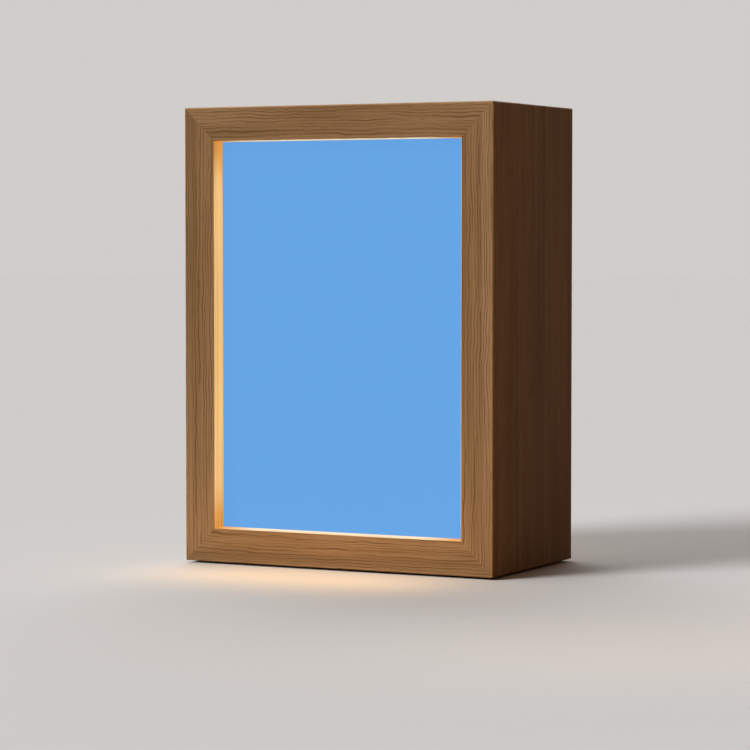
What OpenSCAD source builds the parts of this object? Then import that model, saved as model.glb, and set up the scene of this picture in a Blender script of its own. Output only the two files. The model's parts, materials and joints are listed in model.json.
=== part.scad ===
// Picture light box: a table lamp made as a mitred oak case round a backlit picture.
// The back panel pulls off rearward and carries the LED tray, driver, rocker switch and power inlet.
// Frame: +Z up, the picture faces -Y, origin on the table under the middle of the case.

/* [Case] */
// Width of the oak case
case_w = 180; // [170:1:240]
// Height of the oak case, without its pads
case_h = 240; // [220:1:320]
// Depth of the oak case, front to back
case_d = 100; // [92:1:140]
// Thickness of the oak boards
board_t = 18; // [16:0.5:21]
// Depth of the recess in front of the picture
lip_d = 9; // [6:0.5:14]
// Overlap of the lip over the edge of the picture
ledge = 3; // [2:0.25:4]
// Chamfer that eases the edges of the boards
edge_ease = 0.5; // [0.3:0.1:1]
// Thickness of the mitre splines
spline_t = 3; // [2:0.5:4]
// Width of the mitre splines, half of it in each board
spline_w = 10; // [7:0.5:12]
// Distance of a spline from the inside corner, along the mitre
spline_in = 9.5; // [8:0.5:11]
// Wood left at each end of a spline groove
spline_stop = 8; // [5:1:15]

/* [Picture] */
// Thickness of the printed film
film_t = 0.5; // [0.3:0.1:1]
// Thickness of the opal diffuser
diffuser_t = 3; // [2:0.5:5]

/* [White liner] */
// Thickness of the liner boards
liner_t = 3; // [2:0.5:4]
// Length of a liner pin
pin_len = 10; // [7:0.5:13]
// Shank diameter of a liner pin
pin_d = 1.2; // [0.8:0.1:2]
// Head diameter of a liner pin
pin_head_d = 2.6; // [2.2:0.1:4]
// Head thickness of a liner pin
pin_head_t = 0.5; // [0.3:0.1:0.8]
// Distance of the pins from the ends of their liner board
pin_end = 30; // [20:1:50]

/* [Back panel] */
// Thickness of the back panel
back_t = 5; // [4:0.5:7]
// How far the back panel sits inside the rear edge of the case
back_inset = 6; // [5:0.5:9]
// Diameter of the half-round finger notch
notch_d = 24; // [18:1:32]
// Number of vent slots
vent_count = 7; // [3:2:9]
// Width of a vent slot
vent_w = 3; // [2:0.5:4]
// Length of a vent slot, over its round ends
vent_len = 24; // [12:1:36]
// Distance between vent slots
vent_pitch = 9; // [7:0.5:11]
// Distance from the top of the back panel to the middle of the vents
vent_drop = 46; // [40:1:60]

/* [Magnet catches] */
// Width of a square corner block
block_w = 12; // [11:0.5:16]
// Length of a corner block, front to back
block_len = 18; // [10:1:22]
// Diameter of a magnet
magnet_d = 8; // [5:0.5:9]
// Thickness of a magnet
magnet_t = 3; // [2:0.5:5]
// Diameter of a steel strike disc
strike_d = 9; // [6:0.5:10]
// Thickness of a steel strike disc
strike_t = 1.5; // [1:0.25:2.5]

/* [Light tray] */
// Thickness of the aluminium tray
tray_t = 1.5; // [1:0.25:3]
// Space between the tray and the back panel
tray_gap = 25; // [22:1:30]
// Gap between the tray and the liner
tray_side = 2; // [1.5:0.25:3]
// Width of the pillars across their flats
pillar_af = 6; // [5:0.5:8]
// Distance of the pillars from the top and bottom edges of the tray
pillar_end = 30; // [26:1:34]
// Shank diameter of the tray screws
screw_d = 3; // [2:0.5:3.5]
// Head diameter of the tray screws
screw_head_d = 5.6; // [4.5:0.1:7]
// Head thickness of the tray screws
screw_head_t = 1.8; // [1.2:0.1:2.4]
// How far the tray screws run into a pillar
screw_bite = 7; // [4:0.5:10]
// Number of LED strips
strip_count = 5; // [3:1:6]
// Width of an LED strip
strip_w = 8; // [6:0.5:12]
// Thickness of an LED strip
strip_t = 1.2; // [0.8:0.1:2]
// Distance of the outer strips from the side edges of the tray
strip_margin = 18.5; // [17:0.5:24]
// Distance of the strips' ends from the top and bottom edges of the tray
strip_end = 20.5; // [18:0.5:30]
// Width of a square LED
chip_w = 5; // [3:0.5:6]
// Thickness of an LED
chip_t = 1.4; // [0.8:0.1:2]
// Distance between LEDs along a strip
chip_pitch = 16; // [8:1:25]
// Outside diameter of the grommet's flanges
grommet_d = 10; // [9:0.5:11]
// Diameter of the grommet hole in the tray
grommet_hole_d = 7.5; // [6.5:0.25:8]
// Diameter of the grommet's own bore
grommet_bore_d = 5; // [4.4:0.2:5.6]
// Thickness of a grommet flange
grommet_lip = 1; // [0.6:0.1:1.4]
// Distance of the grommet from the end of the first strip
grommet_drop = 10; // [9:0.5:12]

/* [Driver] */
// Width of the driver board
pcb_w = 60; // [50:1:70]
// Height of the driver board
pcb_h = 30; // [26:1:40]
// Thickness of the driver board
pcb_t = 1.6; // [1:0.2:2]
// Length of the stand-offs behind the driver board
pcb_rise = 5; // [4:0.5:7]
// Middle of the driver board above the lower edge of the back panel
pcb_up = 68; // [62:1:90]
// Diameter of the stand-offs
post_d = 5; // [4:0.5:6]
// Diameter of the stand-offs' snap tips
tip_d = 2.8; // [2:0.2:3.4]
// Distance of the stand-offs from the edges of the driver board
post_in = 4; // [3.5:0.25:5]
// Width of the square inductor
inductor_w = 10; // [7:0.5:11]
// Height of the inductor above the board
inductor_h = 5; // [3:0.5:8]
// Diameter of a capacitor
capacitor_d = 6.3; // [5:0.1:7]
// Height of a capacitor above the board
capacitor_h = 9; // [6:0.5:12]
// Length of the driver chip
chip_len = 5; // [3:0.5:6]
// Thickness of the driver chip
chip_rise = 1.6; // [1:0.1:2]
// Distance between the two ways of a terminal
way_pitch = 5; // [3.8:0.1:5.5]
// Depth of a terminal, along its wires
terminal_run = 8; // [7:0.5:10]
// Height of a terminal above the board
terminal_h = 8; // [7:0.5:10]
// Depth of a wire hole in a terminal
wire_in = 3; // [2:0.5:4]
// Diameter of a terminal screw
clamp_d = 2.6; // [2:0.1:3]

/* [Rocker switch] */
// Middle of the switch, to the side of the panel's middle
switch_x = 20; // [18:1:22]
// Middle of the switch above the lower edge of the back panel
switch_up = 24; // [18:1:28]
// Radius of the rocker's round ends about its pivot
rocker_r = 8; // [7:0.25:9]
// Width of the rocker, along its pivot
rocker_w = 10.2; // [8:0.2:12]
// Height of the rocker's middle above its pivot
rocker_mid = 3.2; // [2.8:0.1:3.4]
// Depth of the rocker below its pivot
rocker_under = 2; // [1.6:0.1:2.4]
// Tilt of the rocker each way from level
rocker_tilt = 10; // [6:1:11]
// Gap round the rocker in its housing
rocker_gap = 0.3; // [0.2:0.05:0.5]
// Wall of the switch housing
switch_wall = 1; // [0.8:0.1:1.4]
// Width of the bezel's rim over the cut-out
bezel_rim = 1.2; // [0.8:0.1:2]
// Thickness of the bezel
bezel_t = 2; // [1.5:0.1:2.2]
// Depth of the rocker's pivot below the face of the bezel
pivot_drop = 3; // [2.8:0.1:3.5]
// Diameter of the rocker's pivot stubs
pivot_d = 2.4; // [1.6:0.1:3]
// Diameter of the spring plunger under the rocker
plunger_d = 2.2; // [1.6:0.1:2.6]
// Reach of the plunger's tip from the rocker's pivot
plunger_reach = 7; // [6:0.25:8]
// Length of the contact bar
bar_len = 13; // [11:0.5:14]
// Thickness of the contact bar
bar_t = 0.8; // [0.6:0.1:1]
// Width of the contact bar, along its pivot
bar_w = 3; // [2:0.5:5]
// Tilt of the contact bar each way from level
bar_tilt = 8; // [5:1:9]
// Diameter of the contact bar's pivot rod
bar_rod_d = 1.4; // [1:0.1:1.6]
// Diameter of the contact buttons
button_d = 2.4; // [1.6:0.2:2.8]
// Thickness of the contact buttons
button_t = 0.4; // [0.2:0.1:0.6]
// Distance of the contact buttons from the contact bar's pivot
button_out = 5; // [4.4:0.2:5.4]
// Height of the contact bar's cradle above the housing floor
cradle_h = 2.2; // [1.8:0.1:3]
// Length of the terminal blades behind the housing
blade_len = 7; // [5:0.5:8]
// Thickness of the terminal blades
blade_t = 0.8; // [0.5:0.1:1]
// Width of the terminal blades
blade_w = 4.8; // [3:0.2:6.4]

/* [Power inlet] */
// Middle of the inlet, to the other side of the panel's middle
inlet_x = 20; // [18:1:24]
// Middle of the inlet above the lower edge of the back panel
inlet_up = 24; // [18:1:28]
// Width of the inlet's flange
flange_w = 28; // [27:0.5:32]
// Height of the inlet's flange
flange_h = 12; // [10:0.5:16]
// Thickness of the inlet's flange
flange_t = 2; // [1.5:0.25:3]
// Width of the inlet's body behind the flange
plug_w = 12.5; // [11:0.5:14]
// Height of the inlet's body behind the flange
plug_h = 7; // [5:0.5:9]
// Depth of the inlet's body behind the flange
plug_d = 13; // [11:0.5:15]
// Outside width of the socket shell
shell_w = 8.94; // [8.5:0.02:9.5]
// Outside height of the socket shell
shell_h = 3.26; // [3:0.02:3.6]
// Wall of the socket shell
shell_wall = 0.3; // [0.2:0.05:0.4]
// Length of the socket shell
shell_len = 8; // [7:0.25:9]
// Width of the socket's tongue
tongue_w = 6.6; // [6:0.1:7]
// Thickness of the socket's tongue
tongue_t = 0.7; // [0.5:0.1:0.9]
// Length of the socket's tongue
tongue_len = 5; // [4:0.25:5.5]
// Distance between the inlet's screws
inlet_pitch = 20; // [19.5:0.5:21]
// Shank diameter of the inlet's screws
inlet_screw_d = 2.5; // [2:0.1:3]
// Head diameter of the inlet's screws
inlet_head_d = 4.4; // [3.8:0.1:5]
// Head thickness of the inlet's screws
inlet_head_t = 1.5; // [1:0.1:1.8]
// How far the inlet's screws run into the back panel
inlet_bite = 4; // [2.5:0.5:4.5]

/* [Leads] */
// Outside diameter of the leads
lead_d = 1.4; // [1:0.1:1.6]
// Distance between the two leads of a pair
lead_gap = 1.8; // [1.7:0.1:2.4]
// Width of the lead clip
clip_w = 9; // [8:0.5:12]
// Height of the lead clip, along the leads
clip_h = 5; // [4:0.5:8]
// Thickness of the lead clip
clip_t = 4.6; // [4.2:0.1:6]

/* [Felt pads] */
// Diameter of a pad
pad_d = 14; // [8:1:20]
// Thickness of a pad
pad_t = 1.2; // [0.8:0.1:3]
// Distance of a pad's middle from the sides of the case
pad_in = 16; // [12:1:24]

/* [Fits] */
// Gap round the picture and the back panel inside the case
fit_gap = 0.4; // [0.2:0.1:0.8]
// Gap round a pin, screw, spline or magnet in its hole
bore_gap = 0.05; // [0.03:0.01:0.1]
// Gap between the back panel and what it closes on
seat_gap = 0.2; // [0.1:0.05:0.5]
// Gap round a part in its cut-out
cut_gap = 0.2; // [0.1:0.05:0.4]
// Gap between the tray and the corner blocks that it passes
pass_gap = 1; // [0.6:0.1:2]
// Gap between sprung contacts
contact_gap = 0.25; // [0.15:0.05:0.4]

/* [Hidden] */
$fn = 48;
// How far a cutting shape runs past the face that it opens
over = 1;

// Heights and depths of the case
mid_z = pad_t + case_h / 2;
front_y = -case_d / 2;
rear_y = case_d / 2;
ledge_y = front_y + lip_d;
bay_t = board_t - ledge - fit_gap;
bay_w = case_w - 2 * bay_t;
bay_h = case_h - 2 * bay_t;
panel_w = bay_w - 2 * fit_gap;
panel_h = bay_h - 2 * fit_gap;
panel_low = mid_z - panel_h / 2;
panel_high = mid_z + panel_h / 2;
spline_len = rear_y - ledge_y - 2 * spline_stop;
spline_y = (ledge_y + rear_y) / 2;
spline_step = spline_in / sqrt(2);
diffuser_y = ledge_y + film_t;
back_y = rear_y - back_inset;
back_front_y = back_y - back_t;

// Liner boards, behind the diffuser and up to the back panel
liner_y = diffuser_y + diffuser_t;
liner_rear_y = back_front_y - seat_gap;
liner_run_h = bay_h - 2 * liner_t;
inner_w = bay_w - 2 * liner_t;
inner_h = bay_h - 2 * liner_t;
pin_y = (liner_y + liner_rear_y) / 2;

// Magnet catches in the four inside corners
catch_x = inner_w / 2 - block_w / 2;
catch_z = inner_h / 2 - block_w / 2;

// Light tray on its pillars
tray_rear_y = back_front_y - tray_gap;
tray_y = tray_rear_y - tray_t;
tray_w = inner_w - 2 * tray_side;
tray_h = inner_h - 2 * tray_side;
tray_notch = block_w + pass_gap - tray_side;
strip_y = tray_y - strip_t;
strip_len = tray_h - 2 * strip_end;
strip_pitch = (tray_w - 2 * strip_margin) / (strip_count - 1);
first_strip_x = -tray_w / 2 + strip_margin;
chip_count = floor(strip_len / chip_pitch);
pillar_x = tray_w / 2 - strip_margin - strip_pitch / 2;
pillar_z = tray_h / 2 - pillar_end;
grommet_x = first_strip_x;
grommet_z = mid_z - strip_len / 2 - grommet_drop;

// Jumpers between neighbouring strips
jumper_d = 1;
jumper_gap = 3;
jumper_rise = 5;
jumper_bend = 2;
jumper_y = tray_y - strip_t / 2;

// Driver board and what stands on it
pcb_z = panel_low + pcb_up;
pcb_rear_y = back_front_y - pcb_rise;
pcb_y = pcb_rear_y - pcb_t;
post_foot = 2;
post_base_d = post_d + 2 * post_foot;
post_base_t = 1;
tip_rise = 1;
terminal_edge = 0.5;
terminal_w = 2 * (way_pitch + terminal_edge);
terminal_y = pcb_y - terminal_h / 2;
supply_x = pcb_w / 5;
supply_z = pcb_z - pcb_h / 2 + terminal_run / 2;
output_x = -pcb_w / 2 + terminal_run / 2;
clamp_in = 2;
capacitor_gap = 2;
slot_w = 0.6;
slot_d = 0.5;

// Rocker switch, from its pivot inward
switch_z = panel_low + switch_up;
pivot_y = back_y + bezel_t - pivot_drop;
stub_in = 0.8 * switch_wall;
plunger_in = 3;
well_half_w = rocker_r + rocker_gap;
well_half_h = rocker_w / 2 + rocker_gap;
switch_w = 2 * (well_half_w + switch_wall);
switch_h = 2 * (well_half_h + switch_wall);
bar_lift = 0.5;
bar_y = pivot_y - plunger_reach - contact_gap - bar_t - bar_lift;
floor_y = bar_y - cradle_h;
floor_t = 1.5;
switch_end_y = floor_y - floor_t;
blade_end_y = switch_end_y - blade_len;
cradle_w = 3;
anvil_y = bar_y + bar_lift - button_out * tan(bar_tilt) - button_t - contact_gap;
lug_out = 0.9;
lug_run = 4;

// Power inlet, from its face inward
inlet_z = panel_low + inlet_up;
flange_y = back_y + flange_t;
plug_end_y = back_y - plug_d;
shell_end_y = flange_y - shell_len;
tongue_base = 1.5;

// Colours
oak = [0.55, 0.4, 0.26];
ply = [0.72, 0.58, 0.42];
white = [0.93, 0.93, 0.91];
blue = [0.4, 0.65, 0.9];
black = [0.08, 0.08, 0.09];
steel = [0.7, 0.71, 0.73];
brass = [0.8, 0.66, 0.36];
red = [0.7, 0.1, 0.08];

// A cylinder along +Y between two depths
module rod_y(d, y0, y1) {
    translate([0, y0, 0]) rotate([-90, 0, 0]) cylinder(d = d, h = y1 - y0);
}

// An upright plate centred on the case, between two depths
module plate(w, h, y0, y1) {
    translate([-w / 2, y0, mid_z - h / 2]) cube([w, y1 - y0, h]);
}

// A bar along Y with half-round ends to its section
module stadium(w, h, y0, y1) {
    translate([-(w - h) / 2, y0, -h / 2]) cube([w - h, y1 - y0, h]);
    for (side = [-1, 1]) translate([side * (w - h) / 2, 0, 0]) rod_y(h, y0, y1);
}

// Each of four like pieces, mirrored about the middle of the case
module at_corners(x, z) {
    for (sx = [-1, 1]) for (sz = [-1, 1]) translate([sx * x, 0, mid_z + sz * z]) children();
}

// A board is drawn lying flat with its outer face up at height 0, then turned to its side of the case
module on_top() { translate([0, 0, mid_z + case_h / 2]) children(); }
module on_bottom() { translate([0, 0, mid_z - case_h / 2]) rotate([0, 180, 0]) children(); }
module on_right() { translate([case_w / 2, 0, mid_z]) rotate([0, 90, 0]) children(); }
module on_left() { translate([-case_w / 2, 0, mid_z]) rotate([0, -90, 0]) children(); }

// The rebated section of a board, along its length
module board_bar(length) {
    section = [
        [front_y + edge_ease, 0], [rear_y - edge_ease, 0],
        [rear_y, -edge_ease], [rear_y, edge_ease - bay_t],
        [rear_y - edge_ease, -bay_t], [ledge_y, -bay_t],
        [ledge_y, -board_t], [front_y + edge_ease, -board_t],
        [front_y, edge_ease - board_t], [front_y, -edge_ease]
    ];
    translate([-length / 2, 0, 0]) rotate([90, 0, 90]) linear_extrude(length) polygon(section);
}

// The space that two mitre cuts leave, with the outer corners eased
module mitre_wedge(length) {
    tip = length / 2 - edge_ease / 2;
    heel = length / 2 - board_t;
    outline = [
        [edge_ease - length / 2, 0], [length / 2 - edge_ease, 0], [tip, -edge_ease / 2],
        [heel, -board_t], [-heel, -board_t], [-tip, -edge_ease / 2]
    ];
    translate([0, rear_y, 0]) rotate([90, 0, 0]) linear_extrude(case_d) polygon(outline);
}

// The splines at both ends of a board, larger all round by a gap
module end_splines(length, gap) {
    for (end = [-1, 1])
        translate([end * (length / 2 - bay_t + spline_step), spline_y, spline_step - bay_t])
            rotate([0, end * 45, 0])
                cube([spline_w + 2 * gap, spline_len + 2 * gap, spline_t + 2 * gap], center = true);
}

// The two pins through a liner board into the oak, larger all round by a gap
module pin_shanks(run, gap) {
    for (end = [-1, 1])
        translate([end * (run / 2 - pin_end), pin_y, -bay_t - liner_t])
            cylinder(d = pin_d + 2 * gap, h = pin_len + gap);
}

module board(length, pin_run) {
    difference() {
        intersection() {
            board_bar(length);
            mitre_wedge(length);
        }
        end_splines(length, bore_gap);
        pin_shanks(pin_run, bore_gap);
    }
}

module liner(run) {
    difference() {
        translate([-run / 2, liner_y, -bay_t - liner_t]) cube([run, liner_rear_y - liner_y, liner_t]);
        translate([0, 0, -over]) pin_shanks(run, bore_gap);
    }
}

module pins(run) {
    pin_shanks(run, 0);
    for (end = [-1, 1])
        translate([end * (run / 2 - pin_end), pin_y, -bay_t - liner_t - pin_head_t])
            cylinder(d = pin_head_d, h = pin_head_t);
}

module case_top() { color(oak) on_top() board(case_w, bay_w); }
module case_bottom() { color(oak) on_bottom() board(case_w, bay_w); }
module case_left() { color(oak) on_left() board(case_h, liner_run_h); }
module case_right() { color(oak) on_right() board(case_h, liner_run_h); }

module mitre_splines() {
    color(ply) {
        on_top() end_splines(case_w, 0);
        on_bottom() end_splines(case_w, 0);
    }
}

module picture_film() { color(blue) plate(panel_w, panel_h, ledge_y, diffuser_y); }
module diffuser_panel() { color(white) plate(panel_w, panel_h, diffuser_y, liner_y); }

module liner_top() { color(white) on_top() liner(bay_w); }
module liner_bottom() { color(white) on_bottom() liner(bay_w); }
module liner_left() { color(white) on_left() liner(liner_run_h); }
module liner_right() { color(white) on_right() liner(liner_run_h); }

module liner_pins() {
    color(steel) {
        on_top() pins(bay_w);
        on_bottom() pins(bay_w);
        on_left() pins(liner_run_h);
        on_right() pins(liner_run_h);
    }
}

module magnet_blocks() {
    color(ply) at_corners(catch_x, catch_z) difference() {
        translate([-block_w / 2, liner_rear_y - block_len, -block_w / 2]) cube([block_w, block_len, block_w]);
        rod_y(magnet_d + 2 * bore_gap, liner_rear_y - magnet_t, liner_rear_y + over);
    }
}

module case_magnets() {
    color(steel) at_corners(catch_x, catch_z) rod_y(magnet_d, liner_rear_y - magnet_t, liner_rear_y);
}

module foot_pads() {
    color(black)
        for (sx = [-1, 1]) for (sy = [-1, 1])
            translate([sx * (case_w / 2 - pad_in), sy * (case_d / 2 - pad_in), 0]) cylinder(d = pad_d, h = pad_t);
}

module vents() {
    for (i = [0 : vent_count - 1])
        translate([(i - (vent_count - 1) / 2) * vent_pitch, 0, panel_high - vent_drop])
            rotate([0, 90, 0]) stadium(vent_len, vent_w, back_front_y - over, back_y + over);
}

// A countersunk screw from the back panel's face into a pillar, larger all round by a gap
module back_screw(gap) {
    sink = (screw_head_d - screw_d) / 2;
    rod_y(screw_d + 2 * gap, back_front_y - screw_bite, back_y);
    translate([0, back_y - sink, 0]) rotate([-90, 0, 0])
        cylinder(d1 = screw_d + 2 * gap, d2 = screw_head_d + 2 * gap, h = sink);
}

module back_panel() {
    color(ply) difference() {
        plate(panel_w, panel_h, back_front_y, back_y);
        translate([0, 0, panel_high]) rod_y(notch_d, back_front_y - over, back_y + over);
        vents();
        translate([switch_x, back_front_y + back_t / 2, switch_z])
            cube([switch_w + 2 * cut_gap, back_t + 2 * over, switch_h + 2 * cut_gap], center = true);
        at_inlet() translate([0, back_front_y + back_t / 2, 0])
            cube([plug_w + 2 * cut_gap, back_t + 2 * over, plug_h + 2 * cut_gap], center = true);
        at_inlet_screws() rod_y(inlet_screw_d + 2 * bore_gap, back_y - inlet_bite - bore_gap, back_y + over);
        at_corners(pillar_x, pillar_z) back_screw(bore_gap);
        at_corners(catch_x, catch_z)
            rod_y(strike_d + 2 * bore_gap, back_front_y - over, back_front_y + strike_t);
    }
}

module strike_discs() {
    color(steel) at_corners(catch_x, catch_z) rod_y(strike_d, back_front_y, back_front_y + strike_t);
}

// A slot or cross cut into the face of a screw at y, opening toward +Y
module cross_cut(across, y, deep) {
    for (turn = [0, 90]) rotate([0, turn, 0])
        translate([0, y - deep / 2 + over / 2, 0]) cube([across, deep + over, slot_w], center = true);
}

module back_screws() {
    color(steel) at_corners(pillar_x, pillar_z) difference() {
        back_screw(0);
        cross_cut(screw_d, back_y, slot_d);
    }
}

module tray_pillars() {
    color(brass) at_corners(pillar_x, pillar_z) difference() {
        translate([0, tray_rear_y, 0]) rotate([-90, 0, 0])
            cylinder(d = pillar_af / cos(30), h = tray_gap, $fn = 6);
        rod_y(screw_d + 2 * bore_gap, tray_rear_y - over, back_front_y + over);
    }
}

module led_tray() {
    color(white) difference() {
        plate(tray_w, tray_h, tray_y, tray_rear_y);
        at_corners(tray_w / 2, tray_h / 2)
            translate([0, tray_y + tray_t / 2, 0])
                cube([2 * tray_notch, tray_t + 2 * over, 2 * tray_notch], center = true);
        at_corners(pillar_x, pillar_z) rod_y(screw_d + 2 * bore_gap, tray_y - over, tray_rear_y + over);
        translate([grommet_x, 0, grommet_z])
            rod_y(grommet_hole_d + 2 * bore_gap, tray_y - over, tray_rear_y + over);
    }
}

module tray_screws() {
    color(steel) at_corners(pillar_x, pillar_z) difference() {
        union() {
            rod_y(screw_head_d, tray_y - screw_head_t, tray_y);
            rod_y(screw_d, tray_y - screw_head_t, tray_rear_y + screw_bite);
        }
        rotate([0, 0, 180]) cross_cut(screw_d, screw_head_t - tray_y, slot_d);
    }
}

module tray_grommet() {
    color(black) translate([grommet_x, 0, grommet_z]) difference() {
        union() {
            rod_y(grommet_d, tray_y - grommet_lip, tray_y);
            rod_y(grommet_hole_d, tray_y, tray_rear_y);
            rod_y(grommet_d, tray_rear_y, tray_rear_y + grommet_lip);
        }
        rod_y(grommet_bore_d, tray_y - grommet_lip - over, tray_rear_y + grommet_lip + over);
    }
}

module at_strips() {
    for (i = [0 : strip_count - 1]) translate([first_strip_x + i * strip_pitch, 0, mid_z]) children();
}

module led_strips() {
    color(white) at_strips() translate([-strip_w / 2, strip_y, -strip_len / 2]) cube([strip_w, strip_t, strip_len]);
}

module led_chips() {
    color([0.95, 0.9, 0.55]) at_strips()
        for (k = [0 : chip_count - 1])
            translate([0, strip_y - chip_t / 2, (k - (chip_count - 1) / 2) * chip_pitch])
                cube([chip_w, chip_t, chip_w], center = true);
}

// A wire bridge that leaves two strip ends upward and crosses between them
module bridge(span, rise) {
    for (side = [0, 1]) mirror([side, 0, 0]) translate([span / 2, 0, 0]) {
        cylinder(d = jumper_d, h = rise - jumper_bend);
        translate([-jumper_bend, 0, rise - jumper_bend]) rotate([90, 0, 0])
            rotate_extrude(angle = 90) translate([jumper_bend, 0]) circle(d = jumper_d);
    }
    translate([jumper_bend - span / 2, 0, rise]) rotate([0, 90, 0])
        cylinder(d = jumper_d, h = span - 2 * jumper_bend);
}

module strip_jumpers() {
    color(red)
        for (i = [0 : strip_count - 2])
            translate([first_strip_x + (i + 0.5) * strip_pitch, jumper_y, mid_z])
                rotate([0, i % 2 == 0 ? 0 : 180, 0]) translate([0, 0, strip_len / 2]) {
                    bridge(strip_pitch - jumper_gap, jumper_rise);
                    bridge(strip_pitch + jumper_gap, jumper_rise + jumper_gap);
                }
}

module at_posts() {
    for (sx = [-1, 1]) for (sz = [-1, 1])
        translate([sx * (pcb_w / 2 - post_in), 0, pcb_z + sz * (pcb_h / 2 - post_in)]) children();
}

module driver_board() {
    color([0.1, 0.35, 0.2]) difference() {
        translate([-pcb_w / 2, pcb_y, pcb_z - pcb_h / 2]) cube([pcb_w, pcb_t, pcb_h]);
        at_posts() rod_y(tip_d + 2 * bore_gap, pcb_y - over, pcb_rear_y + over);
    }
}

module driver_standoffs() {
    color(white) at_posts() {
        rod_y(post_base_d, back_front_y - post_base_t, back_front_y);
        rod_y(post_d, pcb_rear_y, back_front_y - post_base_t);
        rod_y(tip_d, pcb_y - tip_rise, pcb_rear_y);
    }
}

module driver_inductor() {
    color(black) translate([-inductor_w / 2, pcb_y - inductor_h, pcb_z - inductor_w / 2 + post_in])
        cube([inductor_w, inductor_h, inductor_w]);
}

module driver_capacitors() {
    color([0.2, 0.2, 0.35])
        for (way = [-1, 1])
            translate([supply_x + inductor_w / 2 + way * (capacitor_d + capacitor_gap) / 2, 0, pcb_z + post_in])
                rod_y(capacitor_d, pcb_y - capacitor_h, pcb_y);
}

module driver_chip() {
    color(black) translate([-inductor_w - chip_len / 2, pcb_y - chip_rise, pcb_z + post_in - chip_len / 2])
        cube([chip_len, chip_rise, chip_len]);
}

// A two-way terminal, wires entering from below, with its clamp screws' wells on the front
module terminal() {
    difference() {
        translate([-terminal_w / 2, -terminal_h / 2, -terminal_run / 2]) cube([terminal_w, terminal_h, terminal_run]);
        for (way = [-1, 1]) translate([way * way_pitch / 2, 0, -terminal_run / 2]) {
            translate([0, 0, -over]) cylinder(d = lead_d + 2 * cut_gap, h = wire_in + over);
            translate([0, 0, terminal_run / 2])
                rod_y(clamp_d + 2 * bore_gap, -terminal_h / 2 - over, clamp_in - terminal_h / 2);
        }
    }
}

module clamp_screws() {
    for (way = [-1, 1]) translate([way * way_pitch / 2, 0, 0]) difference() {
        rod_y(clamp_d, slot_d - terminal_h / 2, clamp_in - terminal_h / 2);
        translate([0, slot_d - terminal_h / 2, 0]) cube([clamp_d, 2 * slot_d, slot_w], center = true);
    }
}

module at_supply() { translate([supply_x, terminal_y, supply_z]) children(); }
module at_output() { translate([output_x, terminal_y, pcb_z]) rotate([0, 90, 0]) children(); }

module driver_terminals() {
    color([0.1, 0.4, 0.25]) {
        at_supply() terminal();
        at_output() terminal();
    }
}

module terminal_screws() {
    color(steel) {
        at_supply() clamp_screws();
        at_output() clamp_screws();
    }
}

// Sprung lugs that hold the switch behind the back panel
module snap_lugs() {
    for (side = [0, 1]) mirror([side, 0, 0])
        translate([switch_w / 2, back_front_y - cut_gap, -switch_h / 4]) linear_extrude(switch_h / 2)
            polygon([[0, 0], [lug_out, 0], [0, -lug_run]]);
}

module blade_slots(gap) {
    for (out = [0, button_out])
        translate([out, switch_end_y + floor_t / 2, 0])
            cube([blade_t + 2 * gap, floor_t + 2 * gap, blade_w + 2 * gap], center = true);
}

module switch_housing() {
    bezel_w = switch_w + 2 * bezel_rim;
    bezel_h = switch_h + 2 * bezel_rim;
    color(black) translate([switch_x, 0, switch_z]) difference() {
        union() {
            translate([-bezel_w / 2, back_y, -bezel_h / 2]) cube([bezel_w, bezel_t, bezel_h]);
            translate([-switch_w / 2, switch_end_y, -switch_h / 2])
                cube([switch_w, back_y - switch_end_y, switch_h]);
            snap_lugs();
        }
        translate([-well_half_w, floor_y, -well_half_h])
            cube([2 * well_half_w, back_y + bezel_t - floor_y + over, 2 * well_half_h]);
        translate([0, pivot_y, -switch_h / 2]) cylinder(d = pivot_d + 2 * bore_gap, h = switch_h);
        blade_slots(bore_gap);
    }
}

module at_pivot() { translate([switch_x, pivot_y, switch_z]) rotate([0, 0, rocker_tilt]) children(); }

module switch_rocker() {
    rise = rocker_mid + rocker_r * tan(rocker_tilt);
    stub = well_half_h + stub_in;
    color(black) at_pivot() {
        difference() {
            intersection() {
                translate([0, 0, -rocker_w / 2]) cylinder(r = rocker_r, h = rocker_w);
                translate([0, 0, -rocker_w / 2]) linear_extrude(rocker_w) polygon([
                    [-rocker_r, -rocker_under], [rocker_r, -rocker_under],
                    [rocker_r, rise], [0, rocker_mid], [-rocker_r, rise]
                ]);
            }
            rod_y(plunger_d + 2 * bore_gap, -rocker_under - over, plunger_in - rocker_under);
        }
        for (side = [0, 1]) mirror([0, 0, side])
            translate([0, 0, rocker_w / 2]) cylinder(d = pivot_d, h = stub - rocker_w / 2);
    }
}

module switch_plunger() {
    ball_y = plunger_d / 2 - plunger_reach;
    color(steel) at_pivot() {
        rod_y(plunger_d, ball_y, plunger_in - rocker_under);
        translate([0, ball_y, 0]) sphere(d = plunger_d);
    }
}

module switch_contact() {
    color(brass) translate([switch_x, bar_y, switch_z]) rotate([0, 0, -bar_tilt]) {
        translate([-bar_len / 2, bar_lift, -bar_w / 2]) cube([bar_len, bar_t, bar_w]);
        translate([0, 0, -bar_w / 2]) cylinder(d = bar_rod_d, h = bar_w);
        translate([button_out, 0, 0]) rod_y(button_d, bar_lift - button_t, bar_lift);
    }
}

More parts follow.
